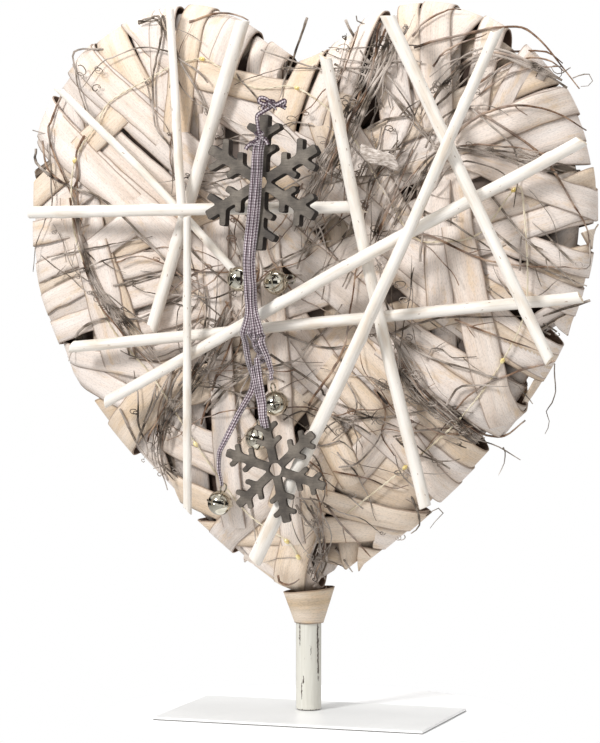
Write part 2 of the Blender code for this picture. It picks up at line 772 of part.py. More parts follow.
# Main
add_plate()
add_post()
add_collar()
wind_strips()
lay_light_string()
lay_vines()
add_bark()
for stick in STICKS[:4]:
    lay_stick(*stick)
upper_outline = flake_outline(UPPER_ARM, UPPER_BRANCHES)
upper_hole = flake_hole(UPPER_HOLE)
upper_centre = from_knot(-0.6, 28.5)
upper_sizes = (UPPER_FLAKE_DIAMETER, UPPER_PLYWOOD)
add_flake("upper_snowflake", *upper_sizes, upper_outline, upper_hole, upper_centre, 30, (6, -6))
for stick in STICKS[4:]:
    lay_stick(*stick)
add_bells()
lower_outline = flake_outline(LOWER_ARM, LOWER_BRANCHES)
lower_hole = flake_hole(LOWER_HOLE)
lower_centre = from_knot(9.9, 208.0)
lower_sizes = (LOWER_FLAKE_DIAMETER, LOWER_PLYWOOD)
add_flake("lower_snowflake", *lower_sizes, lower_outline, lower_hole, lower_centre, 17, (0, 0))
lay_ribbon("ribbon_bundle", BUNDLE_ROUTE, BUNDLE_WIDTHS, BUNDLE_THICKNESS, 4)
for name, widths, route in RIBBON_TAILS:
    lay_ribbon(f"ribbon_tail_{name}", route, widths, RIBBON_THICKNESS, 2)
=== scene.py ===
import math
import random

import bmesh
import bpy
import numpy as np
from mathutils import Matrix, Vector, noise
from mathutils.bvhtree import BVHTree
from mathutils.geometry import interpolate_bezier


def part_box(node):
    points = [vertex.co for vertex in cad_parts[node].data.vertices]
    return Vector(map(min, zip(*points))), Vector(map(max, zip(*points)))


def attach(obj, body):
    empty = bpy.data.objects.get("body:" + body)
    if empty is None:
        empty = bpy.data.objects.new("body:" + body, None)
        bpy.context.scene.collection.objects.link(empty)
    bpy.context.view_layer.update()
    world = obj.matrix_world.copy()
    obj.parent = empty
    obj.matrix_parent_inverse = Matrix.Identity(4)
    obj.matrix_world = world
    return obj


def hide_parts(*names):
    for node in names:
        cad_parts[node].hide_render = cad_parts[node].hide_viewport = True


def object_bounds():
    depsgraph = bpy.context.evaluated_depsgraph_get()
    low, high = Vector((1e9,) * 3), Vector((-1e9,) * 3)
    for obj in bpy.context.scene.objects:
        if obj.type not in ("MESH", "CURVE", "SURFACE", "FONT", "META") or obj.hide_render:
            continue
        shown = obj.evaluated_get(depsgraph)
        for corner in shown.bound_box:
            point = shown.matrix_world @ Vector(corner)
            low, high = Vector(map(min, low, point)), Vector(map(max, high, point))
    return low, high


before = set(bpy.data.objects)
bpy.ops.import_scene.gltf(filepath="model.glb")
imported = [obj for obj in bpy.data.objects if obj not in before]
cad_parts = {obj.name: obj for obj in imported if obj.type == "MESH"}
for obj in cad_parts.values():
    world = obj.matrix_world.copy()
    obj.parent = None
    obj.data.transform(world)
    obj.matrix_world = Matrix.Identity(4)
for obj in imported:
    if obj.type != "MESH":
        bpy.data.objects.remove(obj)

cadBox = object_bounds()
mm = 0.001

# Whitewashed veneer heart on a post and plate. Metres, front looks along -Y.
# Places on the heart are flat (x, z) from its tip, and depth counts forward from its middle plane.


# Small helpers
fullTurn = 2 * math.pi
tiny = 1e-6        # points closer than this are one


def wayAt(angle):
    return Vector((math.cos(angle), math.sin(angle)))


def sideOf(heading):
    return Vector((-heading.y, heading.x))


def headingAt(line, k):
    return (line[min(k + 1, len(line) - 1)] - line[max(k - 1, 0)]).normalized()


def turned(degrees, axis, size=4):
    return Matrix.Rotation(math.radians(degrees), size, axis)


def wobble(where, size, seed):
    # smooth noise from about -1 to 1; size is the length of one wave
    return noise.noise(Vector((where / size, seed * 7.31, seed * 1.7)))


def addObject(name, data):
    made = bpy.data.objects.new(name, data)
    bpy.context.scene.collection.objects.link(made)
    return made


def aimed(name, data, place, ahead):
    made = addObject(name, data)
    made.location = place
    made.rotation_euler = ahead.to_track_quat("-Z", "Y").to_euler()
    return made


# Camera
camera = {
    "turn": 18.748,          # degrees to the right of straight ahead
    "rise": 3.114,           # degrees looking down
    "away": 2.2, "farthest": 20,
    "lens": 166.03, "sensor": 36,
    "targetSide": -0.007054, "targetHeight": 0.222463,
}


def placeCamera():
    turn, rise = math.radians(camera["turn"]), math.radians(camera["rise"])
    side = Vector((math.cos(turn), math.sin(turn), 0))
    ahead = Vector((-math.sin(turn) * math.cos(rise), math.cos(turn) * math.cos(rise), -math.sin(rise)))
    target = side * camera["targetSide"] + Vector((0, 0, camera["targetHeight"]))
    data = bpy.data.cameras.new("camera")
    data.lens = camera["lens"]
    data.sensor_width = camera["sensor"]
    data.clip_end = camera["farthest"]
    bpy.context.scene.camera = aimed("camera", data, target - ahead * camera["away"], ahead)


placeCamera()
print("camera placed")


# Colours and nodes
def hexColour(code):
    channels = [int(code[i:i + 2], 16) / 255 for i in (1, 3, 5)]
    return tuple(c / 12.92 if c < 0.04045 else ((c + 0.055) / 1.055) ** 2.4 for c in channels) + (1.0,)


def addNode(tree, kind, links=None, ramp=None, **settings):
    made = tree.nodes.new("ShaderNode" + kind)
    for name, value in settings.items():
        setattr(made, name, value)
    for name, value in (links or {}).items():
        if isinstance(value, bpy.types.NodeSocket):
            tree.links.new(value, made.inputs[name])
        else:
            made.inputs[name].default_value = hexColour(value) if isinstance(value, str) else value
    if ramp:
        steps = made.color_ramp.elements
        while len(steps) < len(ramp):
            steps.new(0.5)
        for step, (place, tone) in zip(steps, ramp):
            step.position = place
            step.color = hexColour(tone) if isinstance(tone, str) else (tone, tone, tone, 1)
    return made


def patternPlace(tree, size, uvName):
    # where a pattern is read, and its scale
    if not isinstance(size, tuple):
        return addNode(tree, "TexCoord").outputs["Object"], size
    if len(size) == 2:
        links = {"Vector": addNode(tree, "UVMap", uv_map=uvName).outputs["UV"],
                 "Scale": (1 / (size[0] * mm), 1 / (size[1] * mm), 1)}
    else:
        links = {"Vector": addNode(tree, "TexCoord").outputs["Object"],
                 "Rotation": (0, math.radians(size[0]), 0), "Scale": size[1:]}
    return addNode(tree, "Mapping", links).outputs[0], 1.0


def makeSurface(name, roughness, patterns, coats, relief=None, gloss=None, uvName="grain", **sockets):
    # patterns by name: a noise (size, detail, further settings), weights by which earlier ones are summed, or
    # a function of the tree. The size is a pair in mm on the UV map, waves to a metre on Object coordinates,
    # or four numbers there: degrees about Y and waves to a metre along each axis.
    # coats from the lowest up: pattern, ramp and what it does, which is None for the first colours, a colour
    # laid on where the ramp is bright, or how strongly the ramp darkens what lies below
    # relief: pattern, strength, height in mm and maybe a ramp; gloss: pattern, lowest and highest roughness
    material = bpy.data.materials.new(name)
    material.use_nodes = True
    tree = material.node_tree
    shader = tree.nodes["Principled BSDF"]
    for socket, value in {"Roughness": roughness, **sockets}.items():
        shader.inputs[socket.replace("_", " ")].default_value = value
    made = {}
    for key, pattern in patterns.items():
        if callable(pattern):
            made[key] = pattern(tree)
        elif isinstance(pattern, dict):
            made[key] = 0.0
            for part, weight in pattern.items():
                links = {0: made[part], 1: weight, 2: made[key]}
                made[key] = addNode(tree, "Math", links, operation="MULTIPLY_ADD").outputs[0]
        else:
            size, detail, *further = pattern
            place, scale = patternPlace(tree, size, uvName)
            links = {"Vector": place, "Scale": scale, "Detail": detail, **dict(*further)}
            made[key] = addNode(tree, "TexNoise", links).outputs["Fac"]
    colour = None
    for key, ramp, tone in coats:
        shade = made[key]
        if ramp:
            shade = addNode(tree, "ValToRGB", {"Fac": shade}, ramp).outputs["Color"]
        if tone is None:
            colour = shade
        elif isinstance(tone, str):
            colour = addNode(tree, "Mix", {0: shade, 6: colour, 7: tone}, data_type="RGBA").outputs[2]
        else:
            links = {0: tone, 6: colour, 7: shade}
            colour = addNode(tree, "Mix", links, data_type="RGBA", blend_type="MULTIPLY").outputs[2]
    tree.links.new(colour, shader.inputs["Base Color"])
    if relief:
        key, strength, height, *ramp = relief
        rise = addNode(tree, "ValToRGB", {"Fac": made[key]}, *ramp).outputs["Color"] if ramp else made[key]
        bump = addNode(tree, "Bump", {"Height": rise, "Strength": strength, "Distance": height * mm})
        tree.links.new(bump.outputs["Normal"], shader.inputs["Normal"])
    if gloss:
        key, low, high = gloss
        span = addNode(tree, "MapRange", {"Value": made[key], "To Min": low, "To Max": high})
        tree.links.new(span.outputs["Result"], shader.inputs["Roughness"])
    return material


def gradient(source, axis, low, high, atLow, atHigh):
    # a pattern that runs from atLow to atHigh along one axis of a source (node, output, settings)
    def build(tree):
        kind, output, settings = source
        parts = addNode(tree, "SeparateXYZ", {"Vector": addNode(tree, kind, **settings).outputs[output]})
        return addNode(tree, "MapRange", {
            "Value": parts.outputs[axis], "From Min": low, "From Max": high,
            "To Min": atLow, "To Max": atHigh}).outputs["Result"]
    return build


# Materials
def makeVeneer(name, light, middle, dark, wash, washCover):
    # rotary cut poplar veneer brushed with thin white paint: fine pores, faint long grain, warmer patches
    # where the paint is thin, brown knife-cut edges with painted shade along them, and painted shade, dark
    # brown, where a strip runs deep in the weave
    edges = ("UVMap", "UV", {"uv_map": "edges"})
    return makeSurface(name, 0.82, {
        "broad": ((120, 10), 3, {"Distortion": 0.3}), "lines": ((28, 0.7), 3, {"Roughness": 0.6}),
        "pores": ((1.7, 0.7), 2), "patch": ((34, 10), 5, {"Roughness": 0.7}),
        "height": {"lines": 1, "pores": 1},
        # near a cut edge, and the painted shade where a strip runs deep
        "edge": gradient(edges, "X", 0.0003, 0.0009, 0.65, 0.0),
        "buried": gradient(edges, "Y", 0.0, 1.0, 1.0, 0.0),
    }, [
        ("broad", [(0.36, dark), (0.50, middle), (0.64, light)], None),
        ("patch", [(0.36, 0.55), (0.46, 0.0)], "#dcc09c"), ("patch", [(0.48, 0.0), (0.68, washCover)], wash),
        ("lines", [(0.34, 0.84), (0.52, 1.0)], 0.8), ("pores", [(0.34, 0.80), (0.50, 1.0)], 0.8),
        # a brown cut edge deepened by painted shade along each strip, and dark painted shade deep in the
        # weave
        ("edge", None, "#876d59"), ("buried", None, "#3f2e24"),
    ], ("height", 0.6, 0.2))


veneerTones = [
    makeVeneer("whitewashed_poplar_veneer", "#eee2d9", "#e8dacf", "#dfcfc2", "#efe6df", 0.65),
    makeVeneer("thinly_washed_poplar_veneer", "#ecdfd4", "#e5d6c9", "#dbc9ba", "#eee4dc", 0.5),
    makeVeneer("tan_poplar_veneer", "#e8d6c3", "#e0ccb6", "#d4bea6", "#ebdfd2", 0.45),
    makeVeneer("greyed_poplar_veneer", "#e3d8cf", "#d9ccc2", "#ccbeb2", "#e9e0d9", 0.5),
]
# painted shade: dark brown on the strips' and the collar's inner faces, for the shade inside the hollow heart
veneerInsideShade = makeVeneer("poplar_veneer_inside_shade", "#6b5342", "#584336", "#443227", "#7d6858", 0.15)
collarVeneer = makeVeneer("steamed_veneer_collar", "#d2c2b0", "#c8b6a0", "#b7a38b", "#dacdbe", 0.5)

# peeled willow under thin chalk paint: almost white, faint fibre lines, brown knots that bled through
willow = makeSurface("chalked_peeled_willow", 0.62, {
    "fibre": ((60, 1.3), 3), "patch": ((30, 7), 3), "fleck": ((4.5, 1.6), 1),
}, [
    ("patch", [(0.30, "#dacdbd"), (0.46, "#e7e0d6"), (0.62, "#efe9e1")], None),
    ("fibre", [(0.33, 0.80), (0.50, 1.0)], 0.5), ("fleck", [(0.715, 0.0), (0.76, 0.75)], "#8f6f55"),
], ("fibre", 0.4, 0.2))

# sawn stick end: pale rings round a darker pith
cutWood = makeSurface("sawn_willow_end", 0.8, {"rings": ((1.111111, 1.111111), 2)}, [
    ("rings", [(0.35, "#cdb596"), (0.6, "#e6d8c3")], None)])


def makeTwig(name, dark, middle, pale, dust):
    # dried climbing shoots: grey brown rind, dusted with the white paint of the strips
    return makeSurface(name, 0.85, {"rind": (120, 4), "speck": (900, 2), "powder": (45, 4)}, [
        ("rind", [(0.34, dark), (0.50, middle), (0.66, pale)], None),
        ("speck", [(0.38, 0.62), (0.54, 1.0)], 0.7),
        ("powder", [(0.46, 0.0), (0.66, dust)], "#d0c4ba"),
    ], ("speck", 0.5, 0.2))


twigs = [
    makeTwig("dried_twig_grey", "#382e26", "#736659", "#b2a59a", 0.7),
    makeTwig("dried_twig_brown", "#412c1f", "#7a5c47", "#b1947b", 0.45),
]


def makePlywood(name, dark, middle, pale, streak):
    # thin birch plywood, stained grey brown with water stain: faint grain, cloudy, a little dusty
    return makeSurface(name, 0.72, {
        "grain": ((28, 160, 900, 1300), 4, {"Distortion": 0.2}), "cloud": (85, 5), "speck": (1400, 2),
    }, [
        ("cloud", [(0.34, dark), (0.50, middle), (0.66, pale)], None),
        ("grain", [(0.36, 0.72), (0.56, 1.0)], streak), ("speck", [(0.40, 0.82), (0.60, 1.0)], 0.7),
    ], ("speck", 0.35, 0.2))


stainedFace = makePlywood("grey_stained_plywood", "#48413b", "#615950", "#7e756a", 0.8)
flakeEdges = {
    "upper": makePlywood("burnt_plywood_edge", "#120d0a", "#1f1713", "#33281f", 0.4),
    "lower": makePlywood("grey_stained_plywood_edge", "#3a332e", "#4b443d", "#5f5750", 0.5),
}

# pale weathered bark: rough cork ridges, pinkish grey with white paint in the hollows
bark = makeSurface("weathered_bark", 0.9, {"ridge": ((-24, 260, 700, 900), 5, {"Roughness": 0.65})}, [
    ("ridge", [(0.34, "#857970"), (0.48, "#b3a79d"), (0.62, "#d6cdc5")], None)], ("ridge", 0.8, 0.6))


def checkBand(axis, pitch):
    # 1 over the first half of each check and 0 over the second, in mm of the woven ribbon
    def build(tree):
        parts = addNode(tree, "SeparateXYZ", {"Vector": addNode(tree, "UVMap", uv_map="weave").outputs["UV"]})
        value = parts.outputs[axis]
        for operation, other in (("MULTIPLY", 1 / (pitch * mm)), ("FRACT", 0.0), ("LESS_THAN", 0.5)):
            value = addNode(tree, "Math", {0: value, 1: other}, operation=operation).outputs[0]
        return value
    return build


# narrow woven cotton ribbon, mauve grey and white checks, drawn about 1 mm wide so that they show, with
# painted shade in long streaks along its folds
gingham = makeSurface("gingham_cotton_ribbon", 0.9, {
    "warp": checkBand("X", 2.1), "weft": checkBand("Y", 1.7), "checks": {"warp": 0.55, "weft": 0.25},
    "thread": ((0.5, 0.5), 2), "crease": ((1.3, 15), 2),
}, [
    ("checks", [(0.0, "#e0d8da"), (0.25, "#a8969e"), (0.55, "#6f5763"), (0.80, "#3a2832")], None),
    ("thread", [(0.35, 0.8), (0.6, 1.0)], 0.7), ("crease", [(0.40, 0.48), (0.56, 1.0)], 0.85),
], ("thread", 0.5, 0.1), uvName="weave", Sheen_Weight=0.25)

# stamped and nickel plated sheet: bright, faintly yellow, with fine handling marks
nickel = makeSurface("nickel_plated_bell", 0.16, {"marks": (700, 4), "tint": (120, 2)}, [
    ("tint", [(0.35, "#b9b3a3"), (0.65, "#dbd6c8")], None)], gloss=("marks", 0.03, 0.09), Metallic=1.0)

# thin PVC wire, cream and slightly waxy
cable = makeSurface("cream_pvc_wire", 0.42, {"tint": (60, 2)}, [
    ("tint", [(0.35, "#cfc0a4"), (0.65, "#e6dcc6")], None)])

# rice lamp: clear epoxy over yellow phosphor, a small bright amber bead
lamp = makeSurface("amber_epoxy_lamp", 0.12, {"depth": (300, 2)}, [
    ("depth", [(0.35, "#d9bd68"), (0.65, "#f2e5b0")], None)], Coat_Weight=0.6)

# powder coated sheet steel: even satin white with a faint orange peel, and a dark band of painted shade
# along the lower edge
platePaint = makeSurface("white_powder_coat", 0.38, {
    "peel": (900, 2), "cloud": (22, 3),
    "lowerEdgeShade": gradient(("TexCoord", "Object", {}), "Z", 0.0005, 0.0009, 1.0, 0.0),
}, [("cloud", [(0.3, "#f0f0ef"), (0.7, "#f5f5f4")], None), ("lowerEdgeShade", None, "#5d5a56")], ("peel", 0.12, 0.2))

# brushed paint on a turned wooden post, rubbed through to dark wood in long upright scratches
postPaint = makeSurface("rubbed_white_paint_on_post", 0.5, {
    "streak": ((26, 1.5), 4, {"Roughness": 0.6}), "crumb": ((2.2, 0.7), 3), "place": ((40, 5.0), 1),
    "wear": lambda tree: addNode(tree, "Attribute", attribute_name="wear").outputs["Fac"],
    "total": {"streak": 0.55, "crumb": 0.45, "place": 0.12, "wear": 0.28},
}, [
    ("streak", [(0.3, "#c8c5ba"), (0.7, "#d5d3ca")], None), ("total", [(0.72, 0.0), (0.76, 1.0)], "#4d4038"),
], ("total", 0.5, 0.2, [(0.72, 1.0), (0.76, 0.0)]))
print("materials made")


# Pieces
edgeRoom = 0.0003          # kept free inside the solids' width


def heldInside(x, room):
    return min(max(x, cadBox[0][0] + room), cadBox[1][0] - room)


def placePiece(name, mesh, nodes, crease):
    mesh.shade_smooth()
    mesh.set_sharp_from_angle(angle=math.radians(crease))
    piece = addObject(name, mesh)
    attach(piece, "root")
    if nodes:
        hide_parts(*nodes)
    return piece


def finishPiece(name, bm, materials, nodes=(), crease=40):
    for vert in bm.verts:
        vert.co.x = heldInside(vert.co.x, edgeRoom)
    mesh = bpy.data.meshes.new(name)
    bm.to_mesh(mesh)
    bm.free()
    for material in materials:
        mesh.materials.append(material)
    return placePiece(name, mesh, nodes, crease)


def thicken(piece, thickness, offset=0.0, inside=False):
    # inside: the far face takes the second material and the rim the first
    wall = piece.modifiers.new("wall", "SOLIDIFY")
    wall.thickness = thickness
    wall.offset = offset
    if inside:
        wall.material_offset = 1
        wall.material_offset_rim = 0


def gridOf(columns, rows):
    # a flat grid from 0 to 1 along and 0 to 1 across, to be wrapped or rolled into shape
    bm = bmesh.new()
    bmesh.ops.create_grid(bm, x_segments=columns, y_segments=rows, size=0.5)
    return bm, {v: (v.co.x + 0.5, v.co.y + 0.5) for v in bm.verts}


def layUv(bm, name, placeOf):
    layer = bm.loops.layers.uv.new(name)
    for face in bm.faces:
        for loop in face.loops:
            loop[layer].uv = placeOf(loop.vert)


def closeUp(bm, fill=False):
    bmesh.ops.remove_doubles(bm, verts=bm.verts, dist=tiny)
    if fill:
        bmesh.ops.holes_fill(bm, edges=[e for e in bm.edges if e.is_boundary])
    bmesh.ops.recalc_face_normals(bm, faces=bm.faces)


def faceAlong(bm, way):
    # turns all faces round where the outermost one along a direction looks back
    outer = max(bm.faces, key=lambda f: f.calc_center_median().dot(way))
    if outer.normal.dot(way) < 0:
        bmesh.ops.reverse_faces(bm, faces=bm.faces)


def spinRound(bm, geom, steps):
    bmesh.ops.spin(bm, geom=geom, axis=(0, 0, 1), cent=(0, 0, 0), angle=fullTurn, steps=steps, use_merge=True)


def spinProfile(bm, profile, steps):
    # a line of (radius, height) turned round Z
    line = [bm.verts.new((radius, 0, height)) for radius, height in profile]
    spinRound(bm, line + [bm.edges.new(pair) for pair in zip(line, line[1:])], steps)


# Heart form, as in the solids
heart = {
    "place": Vector((-0.0092, 0.0128, 0.076)),
    "halfWidth": 0.192,
    "height": 0.381,
    "middle": 0.51,
    "rimInset": 0.0085,
    "halfDepth": 0.019,
    "power": 6,
    "layerPitch": 0.0018,
    "veneer": 0.0009,
    # half the outline in shares of half the width and of the height, as curves with two handles each
    "rim": [
        ((0, 0.905), (0.101, 0.920), (0.209, 1), (0.417, 1)),
        ((0.417, 1), (0.697, 1), (1, 0.869), (1, 0.656)),
        ((1, 0.656), (1, 0.346), (0.378, 0.127), (0.060, 0)),
    ],
    "tip": (0, -0.004),
}


def onForm(x, z):
    return Vector((x * heart["halfWidth"], z * heart["height"]))


def toWorld(place, depth):
    return heart["place"] + Vector((place[0], -depth, place[1]))


def rimTable():
    rim = []
    for curve in heart["rim"]:
        rim += interpolate_bezier(*[onForm(*c) for c in curve], 40)[:-1]
    rim.append(onForm(*heart["tip"]))
    spokes = sorted((math.atan2(s.y, s.x), s.length) for s in (p.to_2d() - formMiddle for p in rim))
    return np.array([a for a, _ in spokes]), np.array([r for _, r in spokes])


formMiddle = onForm(0, heart["middle"])
rimAngles, rimReaches = rimTable()


def domeShare(place, offset):
    spoke = place - formMiddle
    reach = float(np.interp(math.atan2(spoke.y, abs(spoke.x)), rimAngles, rimReaches))
    return spoke.length / (reach - heart["rimInset"] + offset)


def domeDepth(place, offset):
    share = min(1.0, domeShare(place, offset))
    return (heart["halfDepth"] + offset) * math.sqrt(1 - share ** heart["power"])


def wayToRim(start, direction, offset):
    low = high = 0.0
    while domeShare(start + direction * high, offset) < 1:
        low = high
        high += 4 * mm
    for _ in range(16):
        middle = (low + high) / 2
        if domeShare(start + direction * middle, offset) < 1:
            low = middle
        else:
            high = middle
    return low


# Veneer strips
strips = {
    "stations": 168,
    "coreStations": 80,
    "rows": 4,
    "edgeWander": 0.0007,     # how far a torn edge strays from straight
    "lift": 0.0003,           # how far the veneer buckles off its bed
    "lean": 0.0009,           # one edge may stand higher than the other
    "dive": 0.006,            # length over which a strip sinks by one layer
    "tears": (0.045, 0.012),  # lengths of the waves along a torn edge
    "buckles": 0.05,          # length of a buckle
    "deepShade": (0.8, 1.7),    # the layer above which the painted shade of deep strips fades, and over how many more it is gone
    "rimUnshaded": (0.90, 0.08, 0.85),    # where the painted shade begins to lift towards the rim, over what share, and the most it lifts
    "backSeed": 140,          # so that front and back differ
    # layer, width in mm, and two places that the middle line passes over, in thousandths of the form
    "runs": [
        (0, 28, -820, 560, -360, 860), (0, 28, -600, 340, 220, 840), (0, 26, -530, 200, 690, 953),
        (0, 28, -260, 200, 680, 790), (1, 28, -830, 800, 160, 280), (1, 28, -570, 840, 570, 220),
        (1, 28, -450, 900, 700, 350), (1, 28, 400, 880, 930, 500), (2, 26, -700, 870, -650, 390),
        (2, 24, -380, 920, -370, 220), (2, 20, -120, 880, -200, 200), (2, 24, 150, 900, 200, 200),
        (2, 26, 500, 970, 500, 290), (3, 22, 300, 400, 800, 720), (3, 22, 350, 740, 850, 900),
        (4, 25, -670, 515, 940, 836), (4, 24, -670, 398, 920, 657), (4, 24, -670, 306, 927, 559),
        (4, 18, -370, 642, 924, 898), (5, 17, -180, 110, 260, 125), (5, 26, -860, 790, 310, 300),
        (5, 26, -780, 910, 520, 390), (5, 24, -570, 980, 830, 420), (6, 24, -708, 588, -611, 403),
        (6, 18, -261.6, 600, -210, 130), (6, 16, -70, 600, 10, 100), (6, 21, 582, 619, 713, 318),
    ],
    "diving": {24: 2.5, 25: 2.5, 26: 2.5, 27: 2.5},    # strip and the layer it sinks to beyond its two places
    # further strips, woven over and under: each rides on its layer between its two places only
    "woven": [
        (4.9, 14, -575, 981, -439, 862), (4.6, 24, -685, 961, -491, 812), (5.6, 18, -798, 925, -458, 788),
        (5.2, 19, -757, 754, -611, 822), (4.5, 22, -636, 763, -419, 676), (4.1, 16, -819, 871, -688, 806),
        (5.1, 18, -853, 796, -569, 669), (4.4, 24, -921, 803, -775, 731), (4.8, 22, -965, 679, -854, 720),
        (4.2, 20, -909, 638, -769, 690), (5.0, 17, -484, 997, -439, 835), (5.5, 18, -357, 1002, -401, 794),
        (4.6, 17, -268, 1008, -343, 855), (6.2, 17, -291, 880, -93, 857), (4.8, 20, -204, 975, -268, 854),
        (5.0, 12, 258, 981, 210, 895), (5.2, 20, 478, 1002, 509, 812), (4.2, 22, 590, 994, 475, 904),
        (5.0, 16, 673, 977, 634, 818), (4.5, 22, 853, 957, 727, 804), (5.7, 19, 1016, 855, 595, 772),
        (4.7, 20, 1034, 810, 660, 743), (4.3, 18, 727, 752, 1053, 756), (5.9, 18, 616, 746, 1071, 651),
        (5.1, 16, 1055, 719, 823, 664), (5.2, 16, 710, 615, 944, 656), (4.8, 17, 682, 656, 843, 683),
        (4.5, 14, 373, 1003, 421, 904), (5.2, 16, 750, 605, 1057, 554), (4.6, 18, 722, 562, 964, 501),
        (5.2, 18, 506, 664, 524, 502), (4.9, 18, 369, 561, 540, 489), (5.0, 15, 431, 452, 650, 383),
        (5.6, 20, 344, 431, 597, 348), (4.8, 18, 252, 417, 397, 342), (5.3, 18, 128, 396, 330, 302),
        (5.0, 20, 643, 467, 912, 377), (4.5, 22, 696, 391, 898, 334), (4.2, 20, 776, 441, 989, 508),
        (4.7, 18, 216, 590, 389, 637), (5.5, 16, -956, 614, -827, 625), (4.9, 11, -803, 662, -782, 567),
        (4.6, 13, -922, 582, -753, 606), (5.0, 13, -921, 549, -730, 582), (5.0, 14, -907, 494, -767, 522),
        (5.2, 16, -870, 446, -635, 484), (5.7, 20, -672, 567, -575, 435), (5.3, 18, -743, 570, -576, 629),
        (4.9, 16, -599, 501, -376, 536), (4.6, 15, -637, 550, -420, 578), (5.0, 15, -534, 459, -332, 491),
        (5.0, 18, -812, 385, -557, 329), (5.5, 14, -788, 406, -496, 383), (5.1, 26, -659, 256, -447, 361),
        (4.4, 20, -334, 504, -206, 454), (4.5, 22, -284, 606, -163, 505), (5.2, 14, -347, 277, -197, 250),
        (4.7, 18, -399, 256, -142, 205), (4.9, 18, -406, 177, -141, 130), (5.3, 20, -297, 84, -97, 165),
        (4.6, 20, -264, 108, -99, 43), (5.6, 22, -11, 52, 101, 195), (5.0, 20, -98, 67, 8, 204),
        (5.9, 15, 116, 172, 469, 126), (5.2, 17, 100, 138, 454, 83), (4.6, 18, 63, 93, 356, 48),
        (5.0, 20, 120, 306, 211, 213), (4.8, 22, 217, 223, 397, 322), (5.4, 18, 392, 276, 522, 178),
        (4.4, 18, 451, 319, 629, 229), (4.9, 20, -141, 249, 35, 342), (4.4, 20, -221, 329, -86, 233),
        (5.0, 20, 36, 456, 197, 354), (4.6, 20, -15, 351, 154, 440), (4.3, 20, 96, 823, 215, 667),
        (4.7, 20, 216, 773, 368, 650), (5.0, 16, 382, 806, 279, 680), (4.5, 20, 34, 606, 216, 507),
        (4.6, 14, -78, 957, -84, 827), (5.0, 16, 43, 909, -20, 807), (4.4, 16, 153, 919, 76, 803),
        (4.0, 20, -235, 828, 33, 757), (4.3, 22, 236, 257, 417, 196), (4.1, 20, 131, 222, 382, 169),
        (4.5, 16, 968, 680, 1049, 573), (4.0, 22, 337, 905, 372, 806),
    ],
    # the innermost windings lie side by side: layer, slope, lowest and highest middle, pitch and width in mm
    "core": [(-3.2, -0.85, 20, 560, 44, 26), (-4.1, 0.4, -40, 420, 38, 27)],
    "coreHalf": 0.030,        # half the length over which one lies on its layer
    "coreRoom": 0.93,         # share of the form that they fill
    # places in veneerTones to draw from; the strips near the tip draw the tanner tones more often
    "tones": (0, 0, 0, 1, 1, 1, 2, 2, 3), "lowTones": (1, 1, 2, 1, 2, 2, 2, 2, 3), "warmBelow": 0.30,
    "sidePress": (0.0048, 0.25),        # how near the sides it begins, and how much of the rest stays
    "maker": random.Random(11),
}
skinPoints = []
skinFaces = []


def pressSides(spot):
    # the pile of strips is a little flatter at the widest places of the heart
    near, share = strips["sidePress"]
    held = heldInside(spot.x, near)
    spot.x = held + (spot.x - held) * share
    return spot


